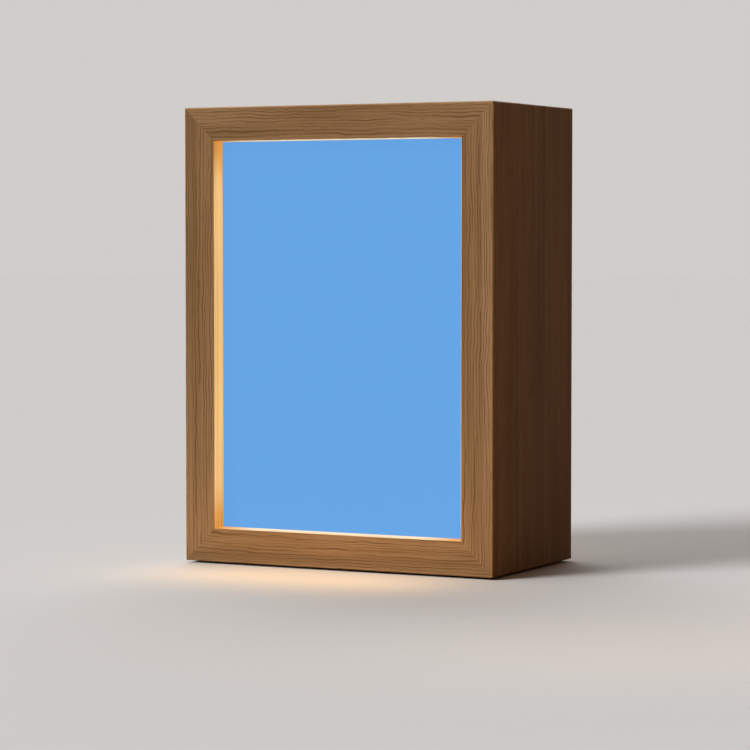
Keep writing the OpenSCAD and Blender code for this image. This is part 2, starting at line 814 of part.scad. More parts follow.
module switch_terminals() {
    color(brass) translate([switch_x, 0, switch_z]) {
        difference() {
            union() {
                translate([-blade_t / 2, blade_end_y, -blade_w / 2])
                    cube([blade_t, floor_y - blade_end_y, blade_w]);
                translate([-cradle_w / 2, floor_y, -bar_w / 2]) cube([cradle_w, cradle_h, bar_w]);
            }
            translate([0, bar_y, -bar_w / 2 - over])
                cylinder(d = bar_rod_d + 2 * bore_gap, h = bar_w + 2 * over);
        }
        translate([button_out, 0, 0]) {
            translate([-blade_t / 2, blade_end_y, -blade_w / 2])
                cube([blade_t, floor_y - blade_end_y, blade_w]);
            rod_y(button_d, floor_y, anvil_y);
        }
    }
}

module at_inlet() { translate([-inlet_x, 0, inlet_z]) children(); }

module at_inlet_screws() {
    at_inlet() for (side = [-1, 1]) translate([side * inlet_pitch / 2, 0, 0]) children();
}

module inlet_housing() {
    color(black) difference() {
        at_inlet() {
            translate([-flange_w / 2, back_y, -flange_h / 2]) cube([flange_w, flange_t, flange_h]);
            translate([-plug_w / 2, plug_end_y, -plug_h / 2]) cube([plug_w, plug_d, plug_h]);
        }
        at_inlet() stadium(shell_w + 2 * bore_gap, shell_h + 2 * bore_gap, shell_end_y, flange_y + over);
        at_inlet_screws() rod_y(inlet_screw_d + 2 * bore_gap, back_y - over, flange_y + over);
    }
}

module inlet_shell() {
    bore_w = shell_w - 2 * shell_wall;
    bore_h = shell_h - 2 * shell_wall;
    color(steel) at_inlet() difference() {
        stadium(shell_w, shell_h, shell_end_y, flange_y);
        stadium(bore_w, bore_h, shell_end_y - over, flange_y + over);
    }
}

module inlet_tongue() {
    base_w = shell_w - 2 * shell_wall - 2 * bore_gap;
    base_h = shell_h - 2 * shell_wall - 2 * bore_gap;
    color(black) at_inlet() {
        stadium(base_w, base_h, shell_end_y, shell_end_y + tongue_base);
        translate([-tongue_w / 2, shell_end_y + tongue_base, -tongue_t / 2]) cube([tongue_w, tongue_len, tongue_t]);
    }
}

module inlet_screws() {
    color(steel) at_inlet_screws() difference() {
        union() {
            rod_y(inlet_head_d, flange_y, flange_y + inlet_head_t);
            rod_y(inlet_screw_d, back_y - inlet_bite, flange_y + inlet_head_t);
        }
        cross_cut(inlet_screw_d, flange_y + inlet_head_t, slot_d);
    }
}

// Smooth curve through a route's points, and a tube of lead_d swept along it
lead_sides = 8;
lead_steps = 4;
function unit(v) = v / norm(v);
function curve_point(a, b, c, d, t) =
    0.5 * (2 * b + (c - a) * t + (2 * a - 5 * b + 4 * c - d) * t * t + (3 * b - a - 3 * c + d) * t * t * t);
function smooth(pts) = [
    for (i = [0 : len(pts) - 2]) for (k = [0 : lead_steps - 1])
        curve_point(pts[max(i - 1, 0)], pts[i], pts[i + 1], pts[min(i + 2, len(pts) - 1)], k / lead_steps),
    pts[len(pts) - 1]
];
function headings(path, pts) = [
    unit(pts[1] - pts[0]),
    for (i = [1 : len(path) - 2]) unit(path[i + 1] - path[i - 1]),
    unit(pts[len(pts) - 1] - pts[len(pts) - 2])
];
function square_to(v, heading) = unit(v - (v * heading) * heading);
function first_side(heading) = square_to(abs(heading.z) < 0.5 ? [0, 0, 1] : [1, 0, 0], heading);
function sides_along(hs) = [
    for (i = 0, side = first_side(hs[0]); i < len(hs); i = i + 1, side = i < len(hs) ? square_to(side, hs[i]) : side)
        side
];

module lead(points) {
    path = smooth(points);
    hs = headings(path, points);
    sides = sides_along(hs);
    last = len(path) - 1;
    n = lead_sides;
    rings = [
        for (i = [0 : last]) for (k = [0 : n - 1])
            path[i] + lead_d / 2 * (cos(k * 360 / n) * sides[i] + sin(k * 360 / n) * cross(hs[i], sides[i]))
    ];
    skin = [
        for (i = [0 : last - 1]) for (k = [0 : n - 1]) let (a = i * n + k, b = i * n + (k + 1) % n)
            each [[a, b + n, b], [a, a + n, b + n]]
    ];
    start_cap = [for (k = [1 : n - 2]) [0, k, k + 1]];
    end_cap = [for (k = [1 : n - 2]) [last * n, last * n + k + 1, last * n + k]];
    polyhedron(points = rings, faces = concat(skin, start_cap, end_cap));
}

// Ends of the leads: at the inlet's rear, the switch blades, the two terminals and the first strip
lead_run = 3;
lead_slack = 1;
blade_y = (switch_end_y + blade_end_y) / 2;
supply_end_z = supply_z - terminal_run / 2 + wire_in;
output_end_x = output_x - terminal_run / 2 + wire_in;
clip_side = 7;
clip_drop = 20;
clip_x = first_strip_x + clip_side;
clip_z = pcb_z - clip_drop;
clip_lead_y = back_front_y - clip_t / 2;
strip_low_z = mid_z - strip_len / 2;
strip_lead_y = tray_y - lead_d / 2 - cut_gap;

module lead_supply() {
    x0 = way_pitch / 2 - inlet_x;
    x1 = switch_x - blade_t / 2;
    color(red) lead([
        [x0, plug_end_y, inlet_z],
        [x0, plug_end_y - lead_run / 2, inlet_z],
        [x0 + lead_run, blade_y, inlet_z - lead_slack],
        [(x0 + x1) / 2, blade_y - lead_slack, inlet_z - 4 * lead_slack],
        [x1 - 2 * lead_run, blade_y, switch_z - lead_slack],
        [x1 - lead_run / 2, blade_y, switch_z],
        [x1, blade_y, switch_z]
    ]);
}

module lead_switched() {
    x0 = switch_x + button_out + blade_t / 2;
    x1 = supply_x + way_pitch / 2;
    color(red) lead([
        [x0, blade_y, switch_z],
        [x0 + lead_run / 2, blade_y, switch_z],
        [x0 + lead_run, blade_y, switch_z + lead_run],
        [(x0 + x1) / 2 + lead_slack, terminal_y, (switch_z + supply_end_z) / 2],
        [x1, terminal_y, supply_end_z - 2 * lead_run],
        [x1, terminal_y, supply_end_z - lead_run],
        [x1, terminal_y, supply_end_z]
    ]);
}

module lead_return() {
    x0 = -way_pitch / 2 - inlet_x;
    x1 = supply_x - way_pitch / 2;
    color(black) lead([
        [x0, plug_end_y, inlet_z],
        [x0, plug_end_y - lead_run / 2, inlet_z],
        [x0, terminal_y - lead_slack, inlet_z + lead_run],
        [(3 * x0 + x1) / 4, terminal_y - 2 * lead_slack, (inlet_z + supply_end_z) / 2],
        [x1, terminal_y, supply_end_z - 2 * lead_run],
        [x1, terminal_y, supply_end_z - lead_run],
        [x1, terminal_y, supply_end_z]
    ]);
}

// One of the pair from the driver through the clip and the grommet to the first strip
module led_lead(way) {
    x = grommet_x + way * lead_gap / 2;
    xs = grommet_x + way * jumper_gap / 2;
    xc = clip_x + way * lead_gap / 2;
    z0 = pcb_z - way * way_pitch / 2;
    front_lead_y = tray_y - grommet_lip - lead_d;
    lead([
        [output_end_x, terminal_y, z0],
        [output_end_x - lead_run, terminal_y, z0],
        [output_end_x - 2 * lead_run, terminal_y, z0],
        [xc, clip_lead_y, clip_z + 2 * clip_h],
        [xc, clip_lead_y, clip_z + clip_h],
        [xc, clip_lead_y, clip_z - clip_h],
        [xc, clip_lead_y, clip_z - 2 * clip_h],
        [x, (clip_lead_y + tray_rear_y) / 2, grommet_z + 3 * lead_run],
        [x, tray_rear_y + 2 * lead_run, grommet_z + 0.5 * lead_slack],
        [x, tray_rear_y, grommet_z],
        [x, tray_y - grommet_lip / 2, grommet_z + 0.3 * lead_slack],
        [x, front_lead_y, grommet_z + lead_run],
        [xs, front_lead_y, grommet_z + grommet_d / 2 + lead_d],
        [xs, strip_lead_y, strip_low_z - lead_run / 2],
        [xs, strip_lead_y, strip_low_z]
    ]);
}

module lead_led_plus() { color(red) led_lead(1); }
module lead_led_minus() { color(black) led_lead(-1); }

// Stick-on clip that holds the pair against the back panel
module lead_clip() {
    channel_w = lead_gap + lead_d + 2 * cut_gap;
    color(white) translate([clip_x, clip_lead_y, clip_z]) difference() {
        cube([clip_w, clip_t, clip_h], center = true);
        cube([channel_w, lead_d + 2 * cut_gap, clip_h + 2 * over], center = true);
    }
}

case_top();
case_bottom();
case_left();
case_right();
mitre_splines();
picture_film();
diffuser_panel();
liner_top();
liner_bottom();
liner_left();
liner_right();
liner_pins();
magnet_blocks();
case_magnets();
foot_pads();
back_panel();
strike_discs();
back_screws();
tray_pillars();
led_tray();
tray_screws();
tray_grommet();
led_strips();
led_chips();
strip_jumpers();
driver_board();
driver_standoffs();
driver_inductor();
driver_capacitors();
driver_chip();
driver_terminals();
terminal_screws();
switch_housing();
switch_rocker();
switch_plunger();
switch_contact();
switch_terminals();
inlet_housing();
inlet_shell();
inlet_tongue();
inlet_screws();
lead_supply();
lead_switched();
lead_return();
lead_led_plus();
lead_led_minus();
lead_clip();
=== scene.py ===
import json
import math

import bmesh
import bpy
from mathutils import Matrix, Vector
from mathutils import noise as steady_noise


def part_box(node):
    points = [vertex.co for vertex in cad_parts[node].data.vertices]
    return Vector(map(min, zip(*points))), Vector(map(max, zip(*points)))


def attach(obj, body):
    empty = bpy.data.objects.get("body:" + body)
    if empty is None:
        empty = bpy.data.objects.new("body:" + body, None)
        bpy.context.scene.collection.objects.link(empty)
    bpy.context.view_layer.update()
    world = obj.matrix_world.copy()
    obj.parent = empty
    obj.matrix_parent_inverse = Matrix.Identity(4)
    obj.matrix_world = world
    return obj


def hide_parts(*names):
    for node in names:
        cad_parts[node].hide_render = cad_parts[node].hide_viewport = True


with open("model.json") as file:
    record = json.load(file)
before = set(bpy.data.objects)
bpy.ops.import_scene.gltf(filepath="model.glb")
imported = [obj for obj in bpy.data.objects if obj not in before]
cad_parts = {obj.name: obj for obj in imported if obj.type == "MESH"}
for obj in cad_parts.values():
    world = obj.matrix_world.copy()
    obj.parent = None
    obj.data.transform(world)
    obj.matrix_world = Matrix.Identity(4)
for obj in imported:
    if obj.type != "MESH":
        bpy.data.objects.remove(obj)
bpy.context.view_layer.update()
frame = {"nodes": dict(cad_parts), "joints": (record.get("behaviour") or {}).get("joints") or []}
nodes = frame["nodes"]

# Camera
# It stands low and to the right of the lamp, where the picture, the front of the case and its right
# side show. Place, turn and lens come from the case's own corners as they stand in the photograph.
camera_place = (0.7018, -1.3668, 0.1729)
camera_turn = 27.259
camera_dip = 2.727
lens_mm = 138.73
sensor_mm = 36
camera = bpy.data.objects.new("camera", bpy.data.cameras.new("camera"))
camera.location = camera_place
camera.rotation_euler = (math.radians(90 - camera_dip), 0, math.radians(camera_turn))
camera.data.sensor_width = sensor_mm
camera.data.lens = lens_mm
bpy.context.scene.collection.objects.link(camera)
bpy.context.scene.camera = camera

# Oak case boards
# Four solid oak boards, planed, rebated behind the lip, mitred at the corners and glued over splines.
# The faces are oiled, the arrises eased by hand, and the grain runs along each board. The arrises carry
# a painted highlight with a little rubbing, and the inside of the lip carries a painted glow, as
# emission, for the warm light that leaks round the picture.


def connect(value, socket):
    """Links an output to a socket, or sets the socket's own value."""
    if isinstance(value, bpy.types.NodeSocket):
        socket.id_data.links.new(value, socket)
    else:
        socket.default_value = value


def new_node(kind, *values):
    """A new node in the tree that one of the values comes from."""
    tree = next(value.id_data for value in values if isinstance(value, bpy.types.NodeSocket))
    return tree.nodes.new(kind)


def calc(operation, *values):
    """The result of a Math node."""
    node = new_node("ShaderNodeMath", *values)
    node.operation = operation
    for socket, value in zip(node.inputs, values):
        connect(value, socket)
    return node.outputs[0]


def times(first, *others):
    """Values multiplied together."""
    for other in others:
        first = calc("MULTIPLY", first, other)
    return first


def added(base, value, share):
    """A base with a share of another value added to it."""
    return calc("MULTIPLY_ADD", value, share, base)


def ramp(value, start, end, low=0.0, high=1.0):
    """A smooth step from low at start to high at end."""
    node = new_node("ShaderNodeMapRange", value)
    node.interpolation_type = "SMOOTHSTEP"
    settings = {"Value": value, "From Min": start, "From Max": end, "To Min": low, "To Max": high}
    for name, setting in settings.items():
        connect(setting, node.inputs[name])
    return node.outputs[0]


def blend(factor, first, second, how="MIX"):
    """Two colours mixed by a factor, on the node's colour sockets, which come after its other kinds."""
    node = new_node("ShaderNodeMix", factor, first, second)
    node.data_type = "RGBA"
    node.blend_type = how
    connect(factor, node.inputs[0])
    connect(first, node.inputs[6])
    connect(second, node.inputs[7])
    return node.outputs[2]


def vector_calc(operation, *vectors):
    """The result of a Vector Math node."""
    node = new_node("ShaderNodeVectorMath", *vectors)
    node.operation = operation
    for socket, vector in zip(node.inputs, vectors):
        connect(vector, socket)
    return node.outputs[0]


def noise(vector, stretch, detail=2.0, roughness=0.5):
    """A noise value of so many grains to the millimetre along each axis."""
    node = new_node("ShaderNodeTexNoise", vector)
    connect(vector_calc("MULTIPLY", vector, stretch), node.inputs["Vector"])
    node.inputs["Scale"].default_value = 1.0
    node.inputs["Detail"].default_value = detail
    node.inputs["Roughness"].default_value = roughness
    return node.outputs[0]


def swing(vector, stretch, detail):
    """Noise that swings to both sides of 0."""
    return calc("SUBTRACT", noise(vector, stretch, detail), 0.5)


def split(vector):
    """The three parts of a vector."""
    node = new_node("ShaderNodeSeparateXYZ", vector)
    connect(vector, node.inputs[0])
    return node.outputs


def joined(x, y, z):
    """A vector from three values."""
    node = new_node("ShaderNodeCombineXYZ", x, y, z)
    for socket, value in zip(node.inputs, (x, y, z)):
        connect(value, socket)
    return node.outputs[0]


def millimetres(tree):
    """The place on the piece in the frame, in millimetres."""
    place = tree.nodes.new("ShaderNodeTexCoord").outputs["Object"]
    return vector_calc("MULTIPLY", place, (1000, 1000, 1000))


def linear(red, green, blue):
    """A colour given as 0 to 255 screen values, as the linear colour that a shader takes."""
    shares = [value / 255 for value in (red, green, blue)]
    bent = [share / 12.92 if share <= 0.04045 else ((share + 0.055) / 1.055) ** 2.4 for share in shares]
    return (*bent, 1.0)


def shader_group(name, inputs, outputs):
    """An empty shader node group with named sockets: its tree, its inputs and its outputs."""
    tree = bpy.data.node_groups.new(name, "ShaderNodeTree")
    kinds = {3: "NodeSocketVector", 4: "NodeSocketColor"}
    for socket, value in inputs.items():
        kind = kinds[len(value)] if isinstance(value, tuple) else "NodeSocketFloat"
        made = tree.interface.new_socket(socket, in_out="INPUT", socket_type=kind)
        made.default_value = value
    for socket in outputs:
        kind = "NodeSocketColor" if socket == "Color" else "NodeSocketFloat"
        tree.interface.new_socket(socket, in_out="OUTPUT", socket_type=kind)
    return tree, tree.nodes.new("NodeGroupInput").outputs, tree.nodes.new("NodeGroupOutput").inputs


def place_group(tree, group, **values):
    """A group placed in a material, with its inputs given by name: its outputs."""
    node = tree.nodes.new("ShaderNodeGroup")
    node.node_tree = group
    for name, value in values.items():
        connect(value, node.inputs[name.replace("_", " ")])
    return node.outputs


def new_finish(name, **plain):
    """A new material with plain values on its shader: the material, its tree and its shader."""
    material = bpy.data.materials.new(name)
    material.use_nodes = True
    shader = material.node_tree.nodes["Principled BSDF"]
    for socket, value in plain.items():
        shader.inputs[socket.replace("_", " ")].default_value = value
    return material, material.node_tree, shader


def surface(shader, skin, depth_mm):
    """Leads a group's colour, roughness and height to the shader, the height as a bump of some depth."""
    connect(skin["Color"], shader.inputs["Base Color"])
    connect(skin["Roughness"], shader.inputs["Roughness"])
    node = new_node("ShaderNodeBump", skin["Height"])
    node.inputs["Distance"].default_value = depth_mm / 1000
    connect(skin["Height"], node.inputs["Height"])
    connect(node.outputs[0], shader.inputs["Normal"])


def dress(material, *names):
    """Gives a material to CAD nodes."""
    for name in names:
        mesh = nodes[name].data
        mesh.materials.clear()
        mesh.materials.append(material)


def box_mm(node):
    """A node's lowest corner, highest corner and middle, in millimetres."""
    low, high = [corner * 1000 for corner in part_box(node)]
    return low, high, (low + high) / 2


# Wood along the first axis of its vector: thin dark lines of the year rings, finer lines between them
# and pores, all broken up along the grain, over slow bands of tone
across_slope = 0.6
deep_slope = 0.75
wander_mm = 2.8
uneven_mm = 3.5
fine_turns = 2.3
least_line = 0.14
wood_matt = 0.5
pore_matt = 0.14
ring_hollow = 0.6
pore_hollow = 0.4
wood_grain, given, made = shader_group(
    "wood grain",
    {
        "Vector": (0, 0, 0), "Light": (1, 1, 1, 1), "Mid": (0.5, 0.5, 0.5, 1), "Dark": (0, 0, 0, 1),
        "Ring Gap": 2.0, "Wave": 1.0, "Lines": 1.0, "Figure": 1.0,
    },
    ["Color", "Roughness", "Height"],
)
in_wood = given["Vector"]
along, across, deep = split(in_wood)
wander = swing(in_wood, (0.018, 0.03, 0.03), detail=1.5)
ripple = swing(in_wood, (0.075, 0.11, 0.11), detail=1.0)
rings = added(times(deep, deep_slope), across, across_slope)
rings = added(rings, wander, wander_mm)
rings = added(rings, ripple, given["Wave"])
uneven = swing(joined(along, rings, 0.0), (0.003, 0.2, 0), detail=1.0)
rings = added(rings, uneven, uneven_mm)
turns = calc("DIVIDE", times(rings, 2 * math.pi), given["Ring Gap"])
lines = ramp(calc("SINE", turns), 0.2, 0.95)
fine_lines = ramp(calc("SINE", times(turns, fine_turns)), 0.1, 0.9)
breaks = ramp(noise(in_wood, (0.016, 0.4, 0.4)), 0.34, 0.6, least_line)
fine_breaks = ramp(noise(in_wood, (0.028, 0.7, 0.7)), 0.4, 0.64)
pores = ramp(noise(in_wood, (0.14, 2.6, 2.6), detail=1.0), 0.58, 0.7)
bands = ramp(noise(in_wood, (0.008, 0.08, 0.08)), 0.3, 0.7)
streaks = ramp(noise(in_wood, (0.004, 0.22, 0.22), detail=1.0), 0.42, 0.68)
strength = times(given["Lines"], given["Figure"])
ring_mask = times(lines, breaks, strength)
fine_mask = times(fine_lines, fine_breaks, strength)
pore_mask = times(pores, given["Figure"])
streak_mask = times(streaks, given["Figure"])
tone = blend(bands, given["Mid"], given["Light"])
for mask, share in ((streak_mask, 0.3), (fine_mask, 0.38), (ring_mask, 0.7), (pore_mask, 0.3)):
    tone = blend(times(mask, share), tone, given["Dark"])
connect(tone, made["Color"])
connect(added(wood_matt, pore_mask, pore_matt), made["Roughness"])
hollow = added(times(pore_mask, pore_hollow), ring_mask, ring_hollow)
connect(calc("SUBTRACT", 1.0, hollow), made["Height"])

# Edges of a box-shaped piece made paler where two of the three faces are near: rubbed by hands, and on
# the oak boards also a painted highlight where the arrises catch the light. The noise is a half on
# average, so twice the noise keeps the width that is asked for.
edge_rub_and_highlight, given, made = shader_group(
    "edge rub and highlight", {"Centre": (0, 0, 0), "Half Size": (1, 1, 1), "Width": 1.0}, ["Mask"],
)
place = millimetres(edge_rub_and_highlight)
offset = vector_calc("SUBTRACT", place, given["Centre"])
from_centre = vector_calc("ABSOLUTE", offset)
inset = split(vector_calc("SUBTRACT", given["Half Size"], from_centre))
nearer = calc("MINIMUM", inset[0], inset[1])
farther = calc("MAXIMUM", inset[0], inset[1])
second_nearest = calc("MAXIMUM", nearer, calc("MINIMUM", farther, inset[2]))
rub = times(noise(place, (0.12, 0.12, 0.12)), given["Width"])
connect(ramp(second_nearest, times(rub, 2.0), 0.0), made["Mask"])

# Painted light on the inside of the lip, an emission colour on the oak for the light from behind the
# picture: full in the middle of each side, redder in the corners, paler and bluer at top and bottom
case_low = box_mm("case_left")[0]
case_high = box_mm("case_right")[1]
film_low, film_high, film_middle = box_mm("picture_film")
case_middle = film_middle.z
lip_cover = 3.0
opening_half_w = film_high.x - lip_cover
opening_half_h = (film_high.z - film_low.z) / 2 - lip_cover
lip_edge = (-0.6, -0.05)
side_reach = (0.5, 3.0)
corner_reach = (0.0, 26.0)
corner_lip_light = (2.55, 1.95, 0.8, 1)
side_lip_light = (3.45, 3.75, 3.2, 1)
end_lip_light = (3.4, 4.9, 7.5, 1)
lip_glow, given, made = shader_group("lip glow", {"Color": (1, 1, 1, 1)}, ["Color"])
x, y, z = split(millimetres(lip_glow))
from_side = calc("SUBTRACT", opening_half_w, calc("ABSOLUTE", x))
from_middle = calc("ABSOLUTE", calc("SUBTRACT", z, case_middle))
from_end = calc("SUBTRACT", opening_half_h, from_middle)
from_corner = calc("ADD", from_side, from_end)
inside = times(ramp(from_side, *lip_edge), ramp(from_end, *lip_edge))
lip_light_wash = blend(ramp(from_side, *side_reach), side_lip_light, end_lip_light)
lip_light_wash = blend(ramp(from_corner, *corner_reach), corner_lip_light, lip_light_wash)
lit_lip_colour = blend(1.0, given["Color"], lip_light_wash, "MULTIPLY")
connect(blend(inside, (0, 0, 0, 1), lit_lip_colour), made["Color"])

oak_light = linear(149, 117, 82)
oak_mid = linear(136, 104, 70)
oak_dark = linear(84, 58, 32)
# The edge colour below and the edge width and share are a painted highlight on the arrises, with a little
# rubbing
oak_edge_highlight = linear(182, 141, 98)
ring_gap = 1.3
front_wave = 1.9
side_wave = 0.6
side_lines = 0.66
edge_highlight_mm = 1.1
edge_highlight_share = 0.75
case_centre = (0, 0, case_middle)
case_half = (case_high.x, case_high.y, case_middle - box_mm("case_bottom")[0].z)


def oak_board(node, upright, offset):
    """Dresses one board, with its grain along it and its own stretch of the log."""
    material, tree, shader = new_finish(node + "_oak", Specular_IOR_Level=0.03, Emission_Strength=1.0)
    x, y, z = split(millimetres(tree))
    lengthwise = joined(z, y, x) if upright else joined(x, y, z)
    grain = place_group(
        tree, wood_grain, Vector=vector_calc("ADD", lengthwise, offset),
        Light=oak_light, Mid=oak_mid, Dark=oak_dark, Ring_Gap=ring_gap,
        Wave=ramp(y, case_low.y, film_low.y, front_wave, side_wave),
        Lines=ramp(y, case_low.y, film_low.y, 1.0, side_lines),
    )
    surface(shader, grain, depth_mm=0.05)
    # Painted highlight along the eased arrises, where they catch the light, with a little rubbing by
    # hands
    rubbed_and_lit_edges = place_group(tree, edge_rub_and_highlight, Centre=case_centre, Half_Size=case_half, Width=edge_highlight_mm)
    highlit_edges = blend(times(rubbed_and_lit_edges["Mask"], edge_highlight_share), grain["Color"], oak_edge_highlight)
    connect(highlit_edges, shader.inputs["Base Color"])
    # The inside of the lip gets its painted glow as emission on the oak
    soft_grain = blend(0.5, grain["Color"], oak_mid)
    connect(place_group(tree, lip_glow, Color=soft_grain)["Color"], shader.inputs["Emission Color"])
    dress(material, node)


oak_board("case_top", upright=False, offset=(310, 40, 15))
oak_board("case_bottom", upright=False, offset=(890, 75, 260))
oak_board("case_left", upright=True, offset=(120, 330, 410))
oak_board("case_right", upright=True, offset=(540, 610, 180))

# Mitre splines
# Short strips of birch plywood glued into slots across each mitre. They are closed in by the boards, so
# only their sawn faces and long grain matter.
birch_light = linear(220, 192, 150)
birch_mid = linear(210, 180, 137)
birch_dark = linear(178, 141, 99)
birch_ring_gap = 1.7
birch_figure = 0.6


def sawn_birch(name, axes, node):
    """Dresses small sawn pieces of birch, with their grain along the first of three axes."""
    material, tree, shader = new_finish(name, Specular_IOR_Level=0.3)
    place = split(millimetres(tree))
    grain = place_group(
        tree, wood_grain, Vector=joined(*[place[axis] for axis in axes]), Light=birch_light,
        Mid=birch_mid, Dark=birch_dark, Ring_Gap=birch_ring_gap, Figure=birch_figure,
    )
    surface(shader, grain, depth_mm=0.06)
    dress(material, node)


sawn_birch("mitre_spline_birch", "YXZ", "mitre_splines")

# Picture film
# A plain light blue print on matt backlit film, trimmed to the opal panel and held against the lip.
# It is lit evenly from behind, so it shines with its own colour.
film_dark = (22, 36, 52)
film_glow = (linear(98, 160, 223), linear(101, 164, 227))


def shaded(colour, value):
    """A colour made lighter or darker by a value about 1."""
    node = new_node("ShaderNodeHueSaturation", value)
    connect(value, node.inputs["Value"])
    connect(colour, node.inputs["Color"])
    return node.outputs[0]


# Fine tooth and slow scuffs of a moulded, painted or coated skin, the tooth in grains to the millimetre
tooth_share = 0.4
scuff_share = 0.6
matt_swing = 0.35
moulded_skin, given, made = shader_group(
    "moulded skin",
    {"Color": (0.5, 0.5, 0.5, 1), "Grain": 2.0, "Contrast": 0.1, "Matt": 0.5},
    ["Color", "Roughness", "Height", "Tone"],
)
place = millimetres(moulded_skin)
grains = joined(given["Grain"], given["Grain"], given["Grain"])
tooth = noise(place, grains)
scuffs = noise(place, (0.07, 0.07, 0.07), detail=4.0, roughness=0.6)
both = added(times(tooth, tooth_share), scuffs, scuff_share)
tone = calc("SUBTRACT", both, 0.5)
lightness = added(1.0, tone, given["Contrast"])
connect(shaded(given["Color"], lightness), made["Color"])
connect(added(given["Matt"], tone, matt_swing), made["Roughness"])
connect(tooth, made["Height"])
connect(both, made["Tone"])


def plain_finish(name, colour, grain, contrast, matt, depth_mm, glow=None, **plain):
    """A moulded, painted or coated skin, which may shine with the two colours of a glow."""
    material, tree, shader = new_finish(name, **plain)
    values = {"Color": linear(*colour), "Grain": grain, "Contrast": contrast, "Matt": matt}
    skin = place_group(tree, moulded_skin, **values)
    surface(shader, skin, depth_mm)
    if glow:
        connect(blend(skin["Tone"], *glow), shader.inputs["Emission Color"])
    return material


film = plain_finish(
    "picture_print", film_dark, grain=3.0, contrast=0.1, matt=0.7, depth_mm=0.008, glow=film_glow,
    Specular_IOR_Level=0.02, Emission_Strength=1.0,
)
dress(film, "picture_film")
nodes["picture_film"].visible_diffuse = False

# Opal diffuser
# A 3 mm sheet of opal acrylic behind the print, sawn to size and scraped at its edges. It evens out the
# light of the many small lights.
opal = plain_finish(
    "opal_acrylic", (236, 236, 232), grain=0.6, contrast=0.04, matt=0.32, depth_mm=0.004,
    Specular_IOR_Level=0.5, Subsurface_Weight=0.2, Subsurface_Radius=(0.002, 0.002, 0.002),
)
dress(opal, "diffuser_panel")

# White liner boards
# Four thin boards of white foamed plastic that clamp the opal panel and close the light chamber. Their
# matt skin has a fine stipple, which spreads the light.
liner_skin = plain_finish(
    "liner_skin", (238, 236, 230), grain=0.9, contrast=0.07, matt=0.72, depth_mm=0.06,
    Specular_IOR_Level=0.3,
)
dress(liner_skin, "liner_top", "liner_bottom", "liner_left", "liner_right")

# Liner pins
# Small round-headed pins of zinc-plated steel wire, pushed through the liners into the oak. The plating
# is bright and lightly tarnished.

# Drawn, turned or tumbled metal: crossed hair scratches and slow smudges
most_stain = 0.5
scratch_matt = 0.5
stain_matt = 0.15
metal_skin, given, made = shader_group(
    "metal skin",
    {"Color": (0.7, 0.7, 0.7, 1), "Tarnish": (0.4, 0.4, 0.4, 1), "Matt": 0.3},
    ["Color", "Roughness", "Height"],
)
place = millimetres(metal_skin)
lengthways = noise(place, (0.5, 6.0, 6.0))
crossways = noise(place, (6.0, 0.5, 5.0))
scratches = times(calc("ADD", lengthways, crossways), 0.5)
smudges = noise(place, (0.25, 0.25, 0.25), detail=3.0, roughness=0.6)
stain = ramp(smudges, 0.5, 0.8, 0.0, most_stain)
connect(blend(stain, given["Color"], given["Tarnish"]), made["Color"])
roughness = added(given["Matt"], calc("SUBTRACT", scratches, 0.5), scratch_matt)
connect(added(roughness, stain, stain_matt), made["Roughness"])
connect(scratches, made["Height"])


def metal_finish(name, colour, tarnish, matt):
    """A bare metal with hair scratches and smudges."""
    material, tree, shader = new_finish(name, Metallic=1.0)
    skin = place_group(tree, metal_skin, Color=linear(*colour), Tarnish=linear(*tarnish), Matt=matt)
    surface(shader, skin, depth_mm=0.004)
    return material


zinc = metal_finish("zinc_plate", (186, 188, 190), (138, 138, 136), matt=0.34)
dress(zinc, "liner_pins")

# Corner blocks and magnets
# Blocks of birch plywood glued into the corners of the bay, each bored for a nickel-plated disc magnet
# that is pressed in flush and holds the back on.
sawn_birch("corner_block_birch", "ZXY", "magnet_blocks")
nickel = metal_finish("nickel_plate", (202, 200, 194), (158, 154, 146), matt=0.22)
dress(nickel, "case_magnets")

# Felt pads
# Four discs punched from pressed wool felt and stuck under the case. The cut edge is fuzzy and a little
# uneven, and the face is matted where it stands.
pad_low, pad_high = box_mm("foot_pads")[:2]
pad_r = 7.0
pad_sides = 72
pad_fuzz = 0.14
fuzz_grain = 2.5
pad_levels = [(0.90, 0.0), (0.96, 0.1), (0.985, 0.35), (0.98, 0.65), (0.95, 0.88), (0.9, 1.0)]
smooth_below = math.radians(38)


def ring(half_w, half_h, y, power=2.0, sides=32):
    """Points round the Y axis: a circle or ellipse at power 2, a rounded rectangle at a high one."""
    points = []
    for step in range(sides):
        turn = 2 * math.pi * step / sides
        c, s = math.cos(turn), math.sin(turn)
        x = math.copysign(abs(c) ** (2 / power), c)
        z = math.copysign(abs(s) ** (2 / power), s)
        points.append(Vector((half_w * x, y, half_h * z)))
    return points


def add_loft(shape, centre, rings, finishes=None):
    """A closed skin over rings of points about a centre; each band and the two caps may have a finish."""
    centre = Vector(centre)
    rows = [[shape.verts.new(centre + point) for point in points] for points in rings]
    finishes = finishes or [0] * (len(rows) + 1)
    first_cap = shape.faces.new(rows[0])
    first_cap.material_index = finishes[0]
    for row, next_row, finish in zip(rows, rows[1:], finishes[1:]):
        for step in range(len(row)):
            after = (step + 1) % len(row)
            face = shape.faces.new((row[step], next_row[step], next_row[after], row[after]))
            face.material_index = finish
    last_cap = shape.faces.new(rows[-1][::-1])
    last_cap.material_index = finishes[-1]
    return rows


def settle(piece, body, replaced):
    """Puts a piece in the scene on its body and the nodes that it stands for."""
    bpy.context.scene.collection.objects.link(piece)
    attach(piece, body)
    if replaced:
        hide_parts(*replaced)


